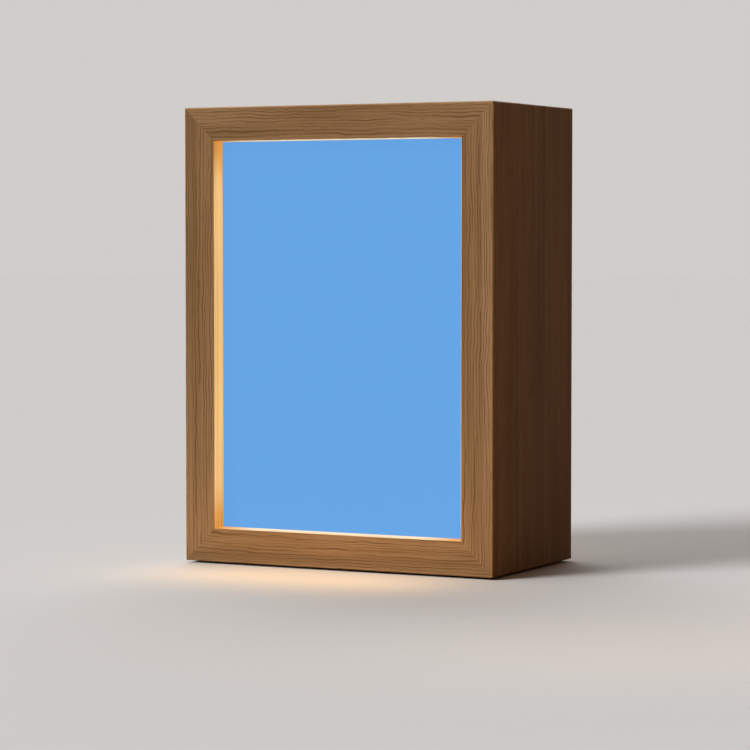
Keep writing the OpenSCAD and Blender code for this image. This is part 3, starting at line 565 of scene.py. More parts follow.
def new_piece(name, shape, materials, body, slot, *replaced):
    """Makes a piece from a shape in millimetres, smooth over its easy turns, that rides on a body."""
    bmesh.ops.scale(shape, vec=(0.001, 0.001, 0.001), verts=shape.verts)
    bmesh.ops.recalc_face_normals(shape, faces=shape.faces)
    mesh = bpy.data.meshes.new(name)
    shape.to_mesh(mesh)
    shape.free()
    mesh.shade_smooth()
    mesh.set_sharp_from_angle(angle=smooth_below)
    for material in materials:
        mesh.materials.append(material)
    settle(bpy.data.objects.new(name, mesh), body, replaced)


shape = bmesh.new()
for pad_x in (pad_low.x + pad_r, pad_high.x - pad_r):
    for pad_y in (pad_low.y + pad_r, pad_high.y - pad_r):
        rings = []
        for share, rise in pad_levels:
            level = pad_low.z + rise * (pad_high.z - pad_low.z)
            fuzz = pad_fuzz if 0 < rise < 1 else 0.0
            rings.append([])
            for point in ring(pad_r * share, pad_r * share, level, sides=pad_sides):
                spot = Vector((pad_x + point.x, pad_y + point.z, level))
                drawn_in = 1 + fuzz / pad_r * min(steady_noise.noise(spot * fuzz_grain), 0)
                rings[-1].append(Vector((point.x * drawn_in, point.z * drawn_in, level)))
        add_loft(shape, (pad_x, pad_y, 0), rings)
felt = plain_finish(
    "wool_felt", (74, 66, 60), grain=3.5, contrast=0.7, matt=0.95, depth_mm=0.25,
    Specular_IOR_Level=0.1, Sheen_Weight=0.3,
)
new_piece("felt_discs", shape, [felt], "case", "felt", "foot_pads")

# Back panel
# Birch plywood, sawn to size and lacquered, with slots routed for the vents and a notch for a finger.
# Its edges show the crossed plies. It lies in the rear of the case on the magnets.
birch_worn = linear(232, 210, 174)
end_grain_brown = linear(142, 102, 66)
ply_t = 1.0
worn_mm = 0.9
worn_share = 0.3
fibre_range = (0.3, 0.7)
back_low, back_high, back_middle = box_mm("back_panel")
back_half = (back_high - back_low) / 2
material, tree, shader = new_finish(
    "birch_plywood", Specular_IOR_Level=0.35, Coat_Weight=0.12, Coat_Roughness=0.35,
)
place = millimetres(tree)
x, y, z = split(place)
faces = place_group(
    tree, wood_grain, Vector=joined(z, y, x), Light=birch_light, Mid=birch_mid, Dark=birch_dark,
    Ring_Gap=5.2, Wave=6.8, Figure=0.38,
)
surface(shader, faces, depth_mm=0.03)
facing = calc("ABSOLUTE", split(tree.nodes.new("ShaderNodeTexCoord").outputs["Normal"])[1])
layer = calc("FRACT", calc("DIVIDE", calc("SUBTRACT", y, back_low.y), 2 * ply_t))
end_grain = times(ramp(layer, 0.46, 0.54), ramp(layer, 1.0, 0.94))
fibres = noise(place, (1.6, 0.8, 1.6))
long_ply = shaded(birch_mid, ramp(fibres, *fibre_range, 0.88, 1.02))
cross_ply = shaded(end_grain_brown, ramp(fibres, *fibre_range, 0.8, 1.1))
cut_edge = blend(end_grain, long_ply, cross_ply)
rubbed_and_lit_edges = place_group(tree, edge_rub_and_highlight, Centre=back_middle, Half_Size=back_half, Width=worn_mm)
whole_face = blend(times(rubbed_and_lit_edges["Mask"], worn_share), faces["Color"], birch_worn)
back_colour = blend(ramp(facing, 0.5, 0.7), cut_edge, whole_face)
connect(back_colour, shader.inputs["Base Color"])
dress(material, "back_panel")

# Strike discs and back screws
# Zinc-plated steel discs let into the back for the magnets, and zinc-plated countersunk screws with a
# cross recess that hold the light tray's pillars.
dress(zinc, "strike_discs", "back_screws")

# Light tray and its pillars
# An aluminium sheet tray, powder coated white, on four turned brass pillars. Pan-head screws hold it,
# and a rubber grommet lines the hole for the leads.
brass = metal_finish("bright_brass", (222, 190, 122), (188, 152, 90), matt=0.3)
powder_coat = plain_finish(
    "white_powder_coat", (222, 223, 222), grain=1.4, contrast=0.05, matt=0.42, depth_mm=0.03,
)
rubber = plain_finish(
    "black_rubber", (34, 33, 33), grain=2.2, contrast=0.5, matt=0.72, depth_mm=0.02,
    Specular_IOR_Level=0.3,
)
dress(brass, "tray_pillars")
dress(zinc, "tray_screws")
dress(powder_coat, "led_tray")
dress(rubber, "tray_grommet")

# Strips
# Five flexible circuit strips with a white mask, stuck to the tray. Each has two long copper tracks,
# tinned pads at the cut lines, one resistor between lights and solder at its ends.


def spaced(middle, pitch, count):
    """Places in an even row about its middle."""
    return [middle + (k - (count - 1) / 2) * pitch for k in range(count)]


strips_low, strips_high, strips_middle = box_mm("led_strips")
strip_half_w = 4.0
strip_count = 5
strip_pitch = (strips_high.x - strips_low.x - 2 * strip_half_w) / (strip_count - 1)
strip_x = spaced(strips_middle.x, strip_pitch, strip_count)
strip_front = strips_low.y
strip_half_h = (strips_high.z - strips_low.z) / 2
light_pitch = 16
light_count = 9
light_z = spaced(case_middle, light_pitch, light_count)
track_rise = 0.05
track_x = 3.4
track_half = 0.35
track_short = 0.8
cut_every = 3
cut_pad = (2.0, 1.3)
cut_pad_half = (0.9, 1.0)
resistor_size = (0.62, 0.7, 0.5)
solder_x = 1.5
solder_short = 1.3
solder_dome = [(0.95, 1.15, 0.0), (0.9, 1.05, -0.25), (0.6, 0.75, -0.5), (0.2, 0.25, -0.6)]


def add_box(shape, middle, half_size, ease, finish=0):
    """A box with eased edges about its middle."""
    made = bmesh.ops.create_cube(shape, size=2.0)["verts"]
    for vert in made:
        vert.co = Vector(middle) + vert.co * Vector(half_size)
    for face in {face for vert in made for face in vert.link_faces}:
        face.material_index = finish
    edges = list({edge for vert in made for edge in vert.link_edges})
    bmesh.ops.bevel(shape, geom=edges, offset=ease, segments=2, profile=0.5, affect="EDGES", material=-1)


def add_ribbon(shape, points, half_w, front, finish=0):
    """A thin raised track through points (x, z) on a face that looks to the front, mitred at turns."""
    points = [Vector(point) for point in points]
    rings = []
    for i, point in enumerate(points):
        before = (point - points[max(i - 1, 0)]).normalized()
        after = (points[min(i + 1, len(points) - 1)] - point).normalized()
        heading = (before + after).normalized()
        lean = max(heading.dot(before), heading.dot(after))
        out = Vector((-heading.y, heading.x)) * half_w / lean
        rings.append([
            Vector((edge.x, front + level, edge.y))
            for edge, level in ((point - out, 0.0), (point + out, 0.0),
                                (point + out, -track_rise), (point - out, -track_rise))
        ])
    add_loft(shape, (0, 0, 0), rings, [finish] * (len(rings) + 1))


def add_chip_part(shape, x, z, front, size, body, ends):
    """A small part on a board, of half width, half height and rise, with tinned ends up and down."""
    half_w, half_h, rise = size
    ease = 0.05
    end_h = 0.36
    end_lap = 0.05
    side_proud = 0.02
    top_proud = 0.03
    add_box(shape, (x, front - rise / 2, z), (half_w, rise / 2, half_h), ease, body)
    end_half = (half_w + side_proud, (rise + top_proud) / 2, end_h / 2)
    for end in (-1, 1):
        end_z = z + end * (half_h + end_h / 2 - end_lap)
        add_box(shape, (x, front - end_half[1], end_z), end_half, ease, ends)


strip_white = plain_finish(
    "strip_white", (240, 238, 230), grain=1.0, contrast=0.05, matt=0.34, depth_mm=0.006,
)
strip_track = plain_finish(
    "strip_track", (226, 220, 202), grain=1.0, contrast=0.06, matt=0.34, depth_mm=0.006,
)
resistor_black = plain_finish(
    "resistor_glaze", (30, 30, 32), grain=3.0, contrast=0.3, matt=0.35, depth_mm=0.006,
)
tin = metal_finish("solder_tin", (196, 197, 196), (150, 150, 148), matt=0.3)
dress(strip_white, "led_strips")
shape = bmesh.new()
for x in strip_x:
    for side in (-1, 1):
        ends = [(x + side * track_x, case_middle + end * (strip_half_h - track_short)) for end in (-1, 1)]
        add_ribbon(shape, ends, track_half, strip_front, 2)
    for k, z in enumerate(light_z[:-1]):
        between = z + light_pitch / 2
        if (k + 1) % cut_every:
            add_chip_part(shape, x, between, strip_front, resistor_size, body=1, ends=0)
            continue
        for side in (-1, 1):
            for end in (-1, 1):
                pad_x = x + side * cut_pad[0]
                pad_z = between + end * cut_pad[1]
                pad_ends = [(pad_x, pad_z - cut_pad_half[1]), (pad_x, pad_z + cut_pad_half[1])]
                add_ribbon(shape, pad_ends, cut_pad_half[0], strip_front)
    for end in (-1, 1):
        for side in (-1, 1):
            end_z = case_middle + end * (strip_half_h - solder_short)
            add_loft(shape, (x + side * solder_x, strip_front, end_z),
                     [ring(half_w, half_h, level, sides=16) for half_w, half_h, level in solder_dome])
strip_finishes = [tin, resistor_black, strip_track]
new_piece("strip_solder_and_resistors", shape, strip_finishes, "light_module", "strip")

# Lights
# Square surface-mount lights: a white moulded body with three tinned legs on each side and a round well
# filled with yellow phosphor, which glows warm.
light_half = 2.5
body_half = 2.3
body_power = 12
light_t = 1.4
light_edge = 0.12
light_well = [(1.95, 0.0), (1.7, 0.35), (0.9, 0.3)]
light_legs = 3
light_leg_pitch = 1.6
light_leg_half = (0.2, 0.325, 0.42)
leg_ease = 0.05
phosphor_yellow = (236, 200, 96)
phosphor_glow = ((0.95, 0.6, 0.2, 1), (1.0, 0.74, 0.34, 1))
phosphor = plain_finish(
    "phosphor_fill", phosphor_yellow, grain=4.0, contrast=0.2, matt=0.3, depth_mm=0.01,
    glow=phosphor_glow, Specular_IOR_Level=0.5, Emission_Strength=0.8,
)
light_white = plain_finish(
    "light_body_white", (240, 240, 236), grain=3.0, contrast=0.05, matt=0.4, depth_mm=0.005,
)


def turned(levels, sides=32):
    """The rings of a round piece about the Y axis, from its radius at each level."""
    return [ring(radius, radius, level, sides=sides) for radius, level in levels]


light_body = [(body_half, 0.0), (body_half, light_edge - light_t), (body_half - light_edge, -light_t)]
light_rings = [ring(half, half, level, body_power) for half, level in light_body]
light_rings += turned([(radius, sink - light_t) for radius, sink in light_well])
shape = bmesh.new()
for x in strip_x:
    for z in light_z:
        add_loft(shape, (x, strip_front, z), light_rings, [0, 0, 0, 0, 0, 1, 1])
        for side in (-1, 1):
            leg_x = x + side * (light_half - light_leg_half[0])
            for leg_z in spaced(z, light_leg_pitch, light_legs):
                leg = (leg_x, strip_front - light_leg_half[1], leg_z)
                add_box(shape, leg, light_leg_half, leg_ease, 2)
new_piece("light_bodies", shape, [light_white, phosphor, tin], "light_module", "led", "led_chips")

# Jumpers between strips
# Pairs of thin insulated copper wires, red and black, soldered from the end of one strip to the next, up
# and down by turns.
jumper_y = box_mm("strip_jumpers")[2].y
jumper_r = 0.5
jumper_bend = 2.0
bend_steps = 6
red_rise = 5
black_rise = 8
red_cover = plain_finish(
    "red_wire_cover", (176, 28, 26), grain=1.5, contrast=0.25, matt=0.42, depth_mm=0.01,
)
black_cover = plain_finish(
    "black_wire_cover", (30, 29, 30), grain=1.5, contrast=0.4, matt=0.45, depth_mm=0.01,
)


def wire(name, paths, radius, material, slot, *replaced):
    """Round wires along paths of points in millimetres, as one piece of the light module."""
    curve = bpy.data.curves.new(name, "CURVE")
    curve.dimensions = "3D"
    curve.bevel_depth = radius / 1000
    curve.bevel_resolution = 3
    curve.use_fill_caps = True
    curve.materials.append(material)
    for path in paths:
        spline = curve.splines.new("POLY")
        spline.points.add(len(path) - 1)
        for point, place in zip(spline.points, path):
            point.co = (*(Vector(place) / 1000), 1)
        spline.use_smooth = True
    settle(bpy.data.objects.new(name, curve), "light_module", replaced)


def bridge(middle_x, span, rise, way):
    """A path out of one strip end, across and into the next, with rounded bends."""
    leg = [(span / 2, 0.0)]
    for step in range(bend_steps + 1):
        turn = math.pi / 2 * step / bend_steps
        drawn_in = jumper_bend * (1 - math.cos(turn))
        short = jumper_bend * (1 - math.sin(turn))
        leg.append((span / 2 - drawn_in, rise - short))
    path = leg + [(-out, up) for out, up in leg[::-1]]
    return [(middle_x - out, jumper_y, case_middle + way * (strip_half_h + up)) for out, up in path]


red_paths = []
black_paths = []
for k, (x, next_x) in enumerate(zip(strip_x, strip_x[1:])):
    way = 1 if k % 2 == 0 else -1
    red_paths.append(bridge((x + next_x) / 2, strip_pitch - 2 * solder_x, red_rise, way))
    black_paths.append(bridge((x + next_x) / 2, strip_pitch + 2 * solder_x, black_rise, way))
wire("red_jumpers", red_paths, jumper_r, red_cover, "red_wire", "strip_jumpers")
wire("black_jumpers", black_paths, jumper_r, black_cover, "black_wire")

# Driver board
# A glass-fibre board with a green solder mask, snapped onto four nylon stand-offs that are stuck to the
# back. Copper tracks stand up a little under the mask, with small parts soldered between them.
board_front = box_mm("driver_board")[0].y
chip = box_mm("driver_chip")[2]
coil = box_mm("driver_inductor")[2]
coil_half = 5.0
chip_half = 2.5
cans_low, cans_high = box_mm("driver_capacitors")[:2]
can_r = 3.15
can_x = (cans_low.x + can_r, cans_high.x - can_r)
row_z = coil.z
clamp_pitch = 5.0
supply_x = 12.0
supply_top = 77.2
output_x = -22.0
output_z = 84.2
plus_x = supply_x + clamp_pitch / 2
minus_x = supply_x - clamp_pitch / 2
plus_z = output_z + clamp_pitch / 2
minus_z = output_z - clamp_pitch / 2
# Each track's half width and the points (x, z) that it passes
tracks = [
    (1.1, [(plus_x, supply_top), (plus_x, 81), (can_x[0], 82.6), (can_x[0], row_z)]),
    (0.9, [(can_x[0], row_z), (can_x[0], 94), (14.4, 95.5), (19.6, 95.5), (can_x[1], 94),
           (can_x[1], row_z)]),
    (1.0, [(can_x[1], row_z), (can_x[1], 82), (23, 80.2), (23, 77)]),
    (1.3, [(coil.x, row_z), (can_x[0], row_z)]),
    (0.4, [(chip.x, row_z + 0.6), (coil.x, row_z + 0.6)]),
    (1.0, [(minus_x, supply_top), (minus_x, 79), (7.5, 81), (-4, 81), (-7.7, 84.7), (-7.7, 86.2)]),
    (0.7, [(chip.x, row_z + 0.6), (-16, row_z + 0.6), (-18.1, plus_z), (output_x, plus_z)]),
    (0.7, [(-12.4, row_z - 1.8), (-15.5, 83.3), (-17.1, minus_z), (output_x, minus_z)]),
    (0.25, [(-12.4, row_z + 1.8), (-14.5, 92.1), (-14.5, 94.4)]),
    (0.25, [(-7.6, row_z + 1.8), (-6.6, 91), (-6.6, 94.6), (-4.7, 96.5), (5, 96.5), (7, 94.5)]),
]
mask = plain_finish(
    "solder_mask", (22, 84, 52), grain=2.5, contrast=0.12, matt=0.35, depth_mm=0.01,
    Specular_IOR_Level=0.5, Coat_Weight=0.3, Coat_Roughness=0.2,
)
mask_over_copper = plain_finish(
    "mask_over_copper", (44, 118, 74), grain=2.5, contrast=0.12, matt=0.3, depth_mm=0.01,
    Coat_Weight=0.3,
)
nylon = plain_finish(
    "white_nylon", (226, 222, 210), grain=1.8, contrast=0.08, matt=0.5, depth_mm=0.015,
    Subsurface_Weight=0.1,
)
dress(mask, "driver_board")
dress(nylon, "driver_standoffs", "lead_clip")
shape = bmesh.new()
for half_w, points in tracks:
    add_ribbon(shape, points, half_w, board_front)
new_piece("board_tracks", shape, [mask_over_copper], "light_module", "circuit_board")

small_size = (0.62, 0.66, 0.55)
small_places = [(-14.5, 95.5), (-10, 94), (7, 93.4), (-15.5, 79), (-12.5, 79), (-2, 77.5), (1, 77.5)]
tinned_holes = [(23, 77.6), (23, 79), (-1, 81), (2, 81), (-17.2, 96), (-19, 96)]
hole_levels = [(0.5, 0.0), (0.45, -0.09), (0.2, -0.1)]
outline_out = 0.8
outline_half = 0.1
printed_white = plain_finish(
    "printed_white", (226, 226, 222), grain=2.0, contrast=0.1, matt=0.5, depth_mm=0.006,
)
ceramic = plain_finish("ceramic_tan", (158, 126, 92), grain=3.0, contrast=0.2, matt=0.4, depth_mm=0.006)
shape = bmesh.new()
for k, (x, z) in enumerate(small_places):
    add_chip_part(shape, x, z, board_front, small_size, body=k % 2, ends=2)
for x, z in tinned_holes:
    add_loft(shape, (x, board_front, z), turned(hole_levels, sides=16), [2, 2, 2, 0])
for part, half in ((coil, coil_half), (chip, chip_half)):
    left, right = part.x - half - outline_out, part.x + half + outline_out
    for z in (row_z - half - outline_out, row_z + half + outline_out):
        add_ribbon(shape, [(left, z), (right, z)], outline_half, board_front, 3)
small_finishes = [resistor_black, ceramic, tin, printed_white]
new_piece("board_small_parts", shape, small_finishes, "light_module", "black_plastic")

# Inductor
# A ferrite drum in a square ferrite shield, ground flat on top, with the copper winding just in sight in
# the round gap.
shield_levels = [(4.9, 0.0), (coil_half, -0.4), (coil_half, -4.2), (4.7, -4.7)]
shield_power = 9
drum_levels = [(4.1, -4.75), (4.0, -4.1), (3.4, -4.2), (3.3, -4.85), (3.1, -5.0)]
coil_sides = 48
ferrite = plain_finish("ground_ferrite", (58, 56, 56), grain=3.0, contrast=0.5, matt=0.6, depth_mm=0.02)
copper = metal_finish("enamelled_copper", (184, 104, 58), (128, 66, 36), matt=0.3)
rings = [ring(half, half, level, shield_power, coil_sides) for half, level in shield_levels]
rings += turned(drum_levels, coil_sides)
shape = bmesh.new()
add_loft(shape, (coil.x, board_front, coil.z), rings, [0, 0, 0, 0, 0, 0, 1, 0, 0, 0])
new_piece("shielded_inductor", shape, [ferrite, copper], "light_module", "ferrite", "driver_inductor")

# Capacitors
# Two small electrolytic cans: drawn aluminium in a dark shrunk sleeve with one pale stripe, rolled in
# over the rubber bung, and scored across the top.
can_levels = [(2.75, 0.0), (2.95, -0.25), (can_r, -0.8), (can_r, -1.5), (2.92, -1.9), (can_r, -2.3),
              (can_r, -8.3), (3.0, -8.75), (2.55, -8.85), (2.5, -8.8)]
# The stripe covers these rows of the can and these steps round it
stripe_rows = range(2, 7)
stripe_turn = slice(22, 27)
score_level = -8.8
score_halves = ((2.1, 0.1, 0.12), (0.12, 0.1, 2.1))
score_ease = 0.03
sleeve = plain_finish("can_sleeve", (34, 38, 58), grain=1.2, contrast=0.2, matt=0.35, depth_mm=0.006)
stripe = plain_finish("can_stripe", (188, 190, 196), grain=1.2, contrast=0.1, matt=0.4, depth_mm=0.006)
can_top = metal_finish("can_aluminium", (200, 202, 204), (166, 168, 170), matt=0.35)
shape = bmesh.new()
for x in can_x:
    rows = add_loft(shape, (x, board_front, row_z), turned(can_levels), [0] * 9 + [2, 2])
    for k in stripe_rows:
        striped = set(rows[k][stripe_turn] + rows[k + 1][stripe_turn])
        for face in {face for vert in striped for face in vert.link_faces}:
            if striped.issuperset(face.verts):
                face.material_index = 1
    for score_half in score_halves:
        add_box(shape, (x, board_front + score_level, row_z), score_half, score_ease, 2)
new_piece("capacitor_cans", shape, [sleeve, stripe, can_top], "light_module", "can", "driver_capacitors")

# Driver chip
# An eight-legged moulded chip: a black body with drafted sides, a dimple at the first leg and bent
# tinned legs soldered to the board.
chip_body = [(1.75, 2.3, -0.15), (1.9, 2.45, -0.8), (1.9, 2.45, -0.9), (1.75, 2.3, -1.6),
             (1.2, 1.8, -1.6)]
chip_power = 14
dimple_place = Vector((-1.1, -1.57, 1.65))
dimple_levels = [(0.3, 0.0), (0.3, -0.03), (0.2, -0.01)]
# The three bars of a leg: how far out and at what level they lie, their half width and half depth
leg_bars = [(2.0, -0.85, 0.2, 0.1), (2.18, -0.46, 0.1, 0.44), (2.3, -0.1, 0.2, 0.1)]
legs_a_side = 4
chip_leg_pitch = 1.2
chip_leg_half = 0.21
chip_leg_ease = 0.04
chip_black = plain_finish("chip_moulding", (32, 32, 34), grain=3.0, contrast=0.3, matt=0.6, depth_mm=0.01)
chip_foot = Vector((chip.x, board_front, chip.z))
shape = bmesh.new()
chip_rings = [ring(half_w, half_h, level, chip_power) for half_w, half_h, level in chip_body]
add_loft(shape, chip_foot, chip_rings)
add_loft(shape, chip_foot + dimple_place, turned(dimple_levels, sides=16))
for side in (-1, 1):
    for leg_z in spaced(chip.z, chip_leg_pitch, legs_a_side):
        for out, level, half_w, half_d in leg_bars:
            bar = (chip.x + side * out, board_front + level, leg_z)
            add_box(shape, bar, (half_w, half_d, chip_leg_half), chip_leg_ease, 1)
new_piece("moulded_chip", shape, [chip_black, tin], "light_module", "black_plastic", "driver_chip")

# Screw terminals
# Two-way clamp terminals moulded in green nylon, soldered to the board, with slotted steel screws. The
# leads enter from the board's edge.
terminal_green = plain_finish(
    "terminal_green", (34, 122, 66), grain=1.6, contrast=0.12, matt=0.45, depth_mm=0.015,
)
dress(terminal_green, "driver_terminals")
dress(zinc, "terminal_screws")

# Rocker switch
# A black moulded housing snapped into the back, a glossy rocker on its two stub pivots, a sprung plunger
# and a brass contact bar inside. The rocker carries the common line and ring marks.
switch_joint = [joint for joint in frame["joints"] if joint["name"] == "switch_rock"][0]
pivot = Vector(switch_joint["pos_m"]) * 1000
rocker_mid = 3.2
rocker_tilt = math.radians(10)
switch_moulding = plain_finish(
    "switch_moulding", (34, 34, 36), grain=1.6, contrast=0.3, matt=0.5, depth_mm=0.02,
)
rocker_moulding = plain_finish(
    "rocker_moulding", (26, 26, 28), grain=1.2, contrast=0.25, matt=0.26, depth_mm=0.006,
)
dress(switch_moulding, "switch_housing")
dress(rocker_moulding, "switch_rocker")
dress(brass, "switch_contact", "switch_terminals")

plunger_r = 1.1
plunger_top = 1.0
plunger_tip = -7.0
plunger_ease = 0.2
dome_steps = 6
dome_end = math.radians(80)
plunger_levels = [(plunger_r - plunger_ease, plunger_top), (plunger_r, plunger_top - plunger_ease)]
for step in range(dome_steps):
    turn = dome_end * step / (dome_steps - 1)
    plunger_levels.append((plunger_r * math.cos(turn), plunger_tip + plunger_r * (1 - math.sin(turn))))
tilted = Matrix.Rotation(rocker_tilt, 3, "Z")
shape = bmesh.new()
add_loft(shape, pivot, [[tilted @ point for point in points] for points in turned(plunger_levels)])
new_piece("turned_plunger", shape, [zinc], "rocker", "steel", "switch_plunger")

mark_rise = 0.04
mark_sink = 0.05
mark_out = 4.1
mark_ease = 0.02
line_half = (0.25, (mark_rise + mark_sink) / 2, 1.6)
ring_outer = 1.6
ring_inner = 1.15
ring_section = [(ring_outer, -mark_sink), (ring_outer, mark_rise),
                (ring_inner, mark_rise), (ring_inner, -mark_sink)]
ridge = pivot + rocker_mid * Vector((-math.sin(rocker_tilt), math.cos(rocker_tilt), 0))
line_middle = ridge + Vector((-mark_out, (mark_rise - mark_sink) / 2, 0))
shape = bmesh.new()
add_box(shape, line_middle, line_half, mark_ease)
lean = 2 * rocker_tilt
up_slope = Vector((math.cos(lean), math.sin(lean), 0))
off_slope = Vector((-math.sin(lean), math.cos(lean), 0))
circle = []
for radius, rise in ring_section:
    lifted = ridge + mark_out * up_slope + rise * off_slope
    circle.append([
        shape.verts.new(lifted + point.x * up_slope + Vector((0, 0, point.z)))
        for point in ring(radius, radius, 0.0, sides=48)
    ])
for row, next_row in zip(circle, circle[1:] + circle[:1]):
    for step in range(len(row)):
        after = (step + 1) % len(row)
        shape.faces.new((row[step], next_row[step], next_row[after], row[after]))
new_piece("rocker_marks", shape, [printed_white], "rocker", "rocker")

# Power inlet
# A flat low-voltage socket in a black moulded flange, screwed to the back from outside: a drawn steel
# shell round a tongue with gilt contacts on both faces.
inlet_moulding = plain_finish(
    "inlet_moulding", (36, 36, 38), grain=1.6, contrast=0.3, matt=0.5, depth_mm=0.02,
)
tongue_moulding = plain_finish(
    "tongue_moulding", (24, 24, 26), grain=2.0, contrast=0.2, matt=0.45, depth_mm=0.01,
)
drawn_steel = metal_finish("drawn_steel", (198, 199, 200), (150, 150, 150), matt=0.24)
gilt = metal_finish("gilt", (226, 186, 92), (190, 148, 66), matt=0.22)
dress(inlet_moulding, "inlet_housing")
dress(tongue_moulding, "inlet_tongue")
dress(drawn_steel, "inlet_shell")
dress(zinc, "inlet_screws")
socket_high, socket_middle = box_mm("inlet_shell")[1:]
contact_count = 12
contact_pitch = 0.5
contact_half = (0.15, 1.8, 0.025)
contact_ease = 0.01
contact_in = 3.6
contact_y = socket_high.y - contact_in
tongue_half = 0.35
shape = bmesh.new()
for x in spaced(socket_middle.x, contact_pitch, contact_count):
    for side in (-1, 1):
        add_box(shape, (x, contact_y, socket_middle.z + side * tongue_half), contact_half, contact_ease)
new_piece("inlet_contacts", shape, [gilt], "light_module", "brass")

# Leads
# Stranded copper in a red or black cover: from the inlet to the switch and the driver, and as a pair
# through the clip and the grommet to the first strip. Push-on covers hold them at the switch, shrunk
# sleeves at the inlet, clamps at the driver and solder at the strip.
lead_r = 0.7
lead_steps = 8
switch_z = pivot.z
blade_y = 27.25
blade_pitch = 5.0
blade_x = (pivot.x, pivot.x + blade_pitch)
inlet_rear = 31
clamp_y = 28.4
clip_middle_x = box_mm("lead_clip")[2].x
clip_y = 36.7
pair_half = 0.9
supply_route = [
    (-17.5, inlet_rear, switch_z), (-17.5, 29.5, switch_z), (-14.5, blade_y, 39.2), (1.05, 26.25, 36.2),
    (13.6, blade_y, 39.2), (18.1, blade_y, switch_z), (19.6, blade_y, switch_z),
]
switched_route = [
    (25.4, blade_y, switch_z), (26.9, blade_y, switch_z), (28.4, blade_y, 43.2), (20.95, clamp_y, 56.2),
    (plus_x, clamp_y, 66.2), (plus_x, clamp_y, 69.2), (plus_x, clamp_y, 72.2),
]
return_route = [
    (-22.5, inlet_rear, switch_z), (-22.5, 29.5, switch_z), (-22.5, 27.4, 43.2), (-14.5, 26.4, 56.2),
    (minus_x, clamp_y, 66.2), (minus_x, clamp_y, 69.2), (minus_x, clamp_y, 72.2),
]


def pair_route(way):
    """One lead of the pair from the driver to the first strip."""
    driver_z = output_z - way * clamp_pitch / 2
    clip_x = clip_middle_x + way * pair_half
    hole_x = strip_x[0] + way * pair_half
    end_x = strip_x[0] + way * solder_x
    return [
        (-27, clamp_y, driver_z), (-30, clamp_y, driver_z), (-33, clamp_y, driver_z),
        (clip_x, clip_y, 74.2), (clip_x, clip_y, 69.2), (clip_x, clip_y, 59.2), (clip_x, clip_y, 54.2),
        (hole_x, 25.35, 40.3), (hole_x, 20, 31.8), (hole_x, 14, 31.3), (hole_x, 12, 31.6),
        (hole_x, 10.1, 34.3), (end_x, 10.1, 37.7), (end_x, 11.6, 39.8), (end_x, 11.6, 41.3),
    ]


def eased(points):
    """A smooth path through a route's points."""
    path = []
    points = [Vector(point) for point in points]
    for i in range(len(points) - 1):
        a, b, c, d = points[max(i - 1, 0)], points[i], points[i + 1], points[min(i + 2, len(points) - 1)]
        for step in range(lead_steps):
            t = step / lead_steps
            path.append(0.5 * (2 * b + (c - a) * t + (2 * a - 5 * b + 4 * c - d) * t * t
                               + (3 * b - a - 3 * c + d) * t * t * t))
    return path + [points[-1]]


cover_levels = [(1.3, 2.8, 3.0), (1.5, 3.0, 2.6), (1.5, 3.0, -2.6), (1.2, 2.7, -3.1)]
cover_power = 5
barrel_out = 1.3
barrel_levels = [(1.15, 0.0), (1.25, 0.3), (1.25, 1.6), (1.0, 1.9)]
sleeve_levels = [(1.15, 0.0), (1.15, -1.6), (0.95, -2.2), (0.85, -2.3)]
sleeve_sides = 24
shape = bmesh.new()
for x, side in zip(blade_x, (-1, 1)):
    add_loft(shape, (x, blade_y, switch_z), [
        ring(half_w, half_h, level, cover_power) for half_w, half_h, level in cover_levels
    ])
    add_loft(shape, (x + side * barrel_out, blade_y, switch_z), [
        [Vector((side * point.y, point.x, point.z)) for point in points]
        for points in turned(barrel_levels, sleeve_sides)
    ])
for inlet_end in (supply_route[0], return_route[0]):
    add_loft(shape, inlet_end, turned(sleeve_levels, sleeve_sides), [1] * 5)
new_piece("lead_sleeves", shape, [nylon, black_cover], "light_module", "nylon")
leads = [
    ("supply_lead", supply_route, red_cover, "red_wire", "lead_supply"),
    ("switched_lead", switched_route, red_cover, "red_wire", "lead_switched"),
    ("return_lead", return_route, black_cover, "black_wire", "lead_return"),
    ("strip_lead_plus", pair_route(1), red_cover, "red_wire", "lead_led_plus"),
    ("strip_lead_minus", pair_route(-1), black_cover, "black_wire", "lead_led_minus"),
]
for name, route, cover, slot, node in leads:
    wire(name, [eased(route)], lead_r, cover, slot, node)

# Floor and lights
# A plain pale floor, a soft key light from the front left and even light all round that is fuller on the
# left. The lamp's own warm light falls on the floor before it.
floor_half = 10.0
pale = (0.6, 0.595, 0.59, 1)
bounce = (0.2, 0.138, 0.088, 1)
left_sky = (0.8, 0.8, 0.8, 1)
right_sky = (0.068, 0.034, 0.017, 1)
sky_turn = (0.05, -0.7)
backdrop_pale = (0.631, 0.610, 0.594, 1)


def seen_straight(tree):
    """1 where the eye, a gloss or a clear piece looks at the surface, 0 where it only lends its light."""
    ray = tree.nodes.new("ShaderNodeLightPath").outputs
    straight = calc("MAXIMUM", ray["Is Camera Ray"], ray["Is Glossy Ray"])
    return calc("MAXIMUM", straight, ray["Is Transmission Ray"])


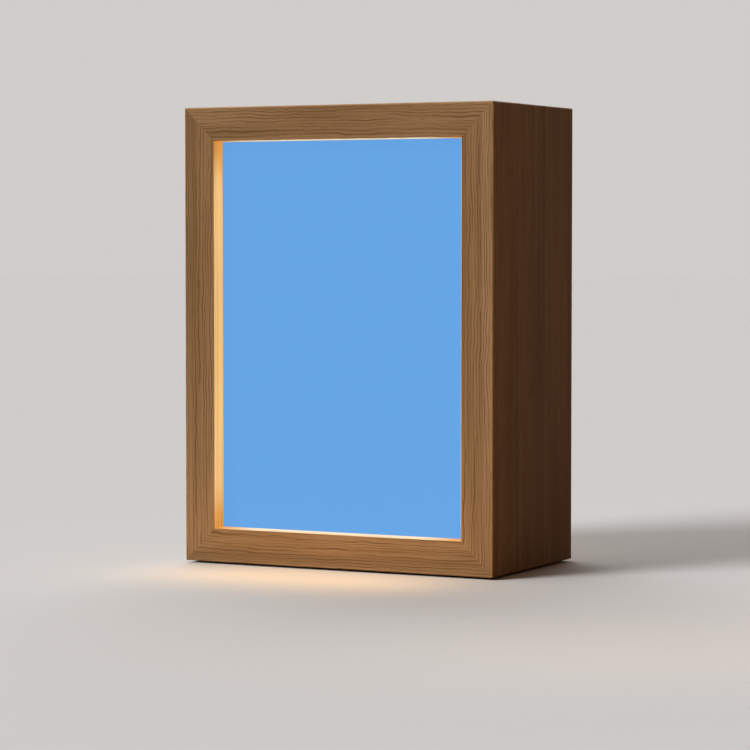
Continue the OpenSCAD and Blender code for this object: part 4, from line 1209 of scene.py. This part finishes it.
floor_corners = [(x * floor_half, y * floor_half, 0) for x, y in ((-1, -1), (1, -1), (1, 1), (-1, 1))]
floor_mesh = bpy.data.meshes.new("floor")
floor_mesh.from_pydata(floor_corners, [], [(0, 1, 2, 3)])
floor = bpy.data.objects.new("floor", floor_mesh)
bpy.context.scene.collection.objects.link(floor)
floor_paint, tree, shader = new_finish("floor_paint", Roughness=0.9, Specular_IOR_Level=0.0)
connect(blend(seen_straight(tree), bounce, pale), shader.inputs["Base Color"])
floor_mesh.materials.append(floor_paint)

world = bpy.data.worlds.new("studio")
bpy.context.scene.world = world
world.use_nodes = True
tree = world.node_tree
direction = split(tree.nodes.new("ShaderNodeTexCoord").outputs["Generated"])
even_light = blend(ramp(direction[0], *sky_turn), right_sky, left_sky)
shown_sky = blend(seen_straight(tree), even_light, backdrop_pale)
connect(shown_sky, tree.nodes["Background"].inputs["Color"])


def place_light(name, lamp, place, target):
    """A light that faces a point and isn't seen itself."""
    light = bpy.data.objects.new(name, lamp)
    light.location = place
    light.rotation_euler = (Vector(place) - Vector(target)).to_track_quat("Z", "Y").to_euler()
    light.visible_camera = False
    bpy.context.scene.collection.objects.link(light)
    return light


def far_light(name, energy, degrees, place):
    """A soft light from far off, as wide as so many degrees of the sky."""
    lamp = bpy.data.lights.new(name, "SUN")
    lamp.energy = energy
    lamp.angle = math.radians(degrees)
    place_light(name, lamp, place, (0, 0, 0))


def warm_light(name, energy, colour, size, place, target, spread=180):
    """A small light that stands for what the lit picture throws on its surroundings."""
    lamp = bpy.data.lights.new(name, "AREA")
    lamp.shape = "RECTANGLE"
    lamp.size, lamp.size_y = size
    lamp.energy = energy
    lamp.color = colour
    lamp.spread = math.radians(spread)
    place_light(name, lamp, place, target).visible_glossy = False


far_light("key_light", energy=3.0, degrees=24, place=(-1.52, -2.17, 1.41))
far_light("back_light", energy=1.9, degrees=60, place=(-1.4, 2.2, 1.5))
warm_light(
    "lamp_glow", energy=0.03, colour=(1.0, 0.55, 0.16), size=(0.14, 0.04),
    place=(0, -0.085, 0.06), target=(0, -0.085, 0), spread=120,
)
warm_light(
    "foot_glow", energy=0.044, colour=(1.0, 0.5, 0.06), size=(0.3, 0.1),
    place=(0, -0.11, 0.001), target=(0, -0.11, 1.0),
)
warm_light(
    "side_glow", energy=0.12, colour=(1.0, 0.6, 0.33), size=(0.2, 0.2),
    place=(0.3, -0.3, 0.22), target=(0.09, -0.03, 0.1),
)
bpy.context.scene.view_settings.view_transform = "Standard"
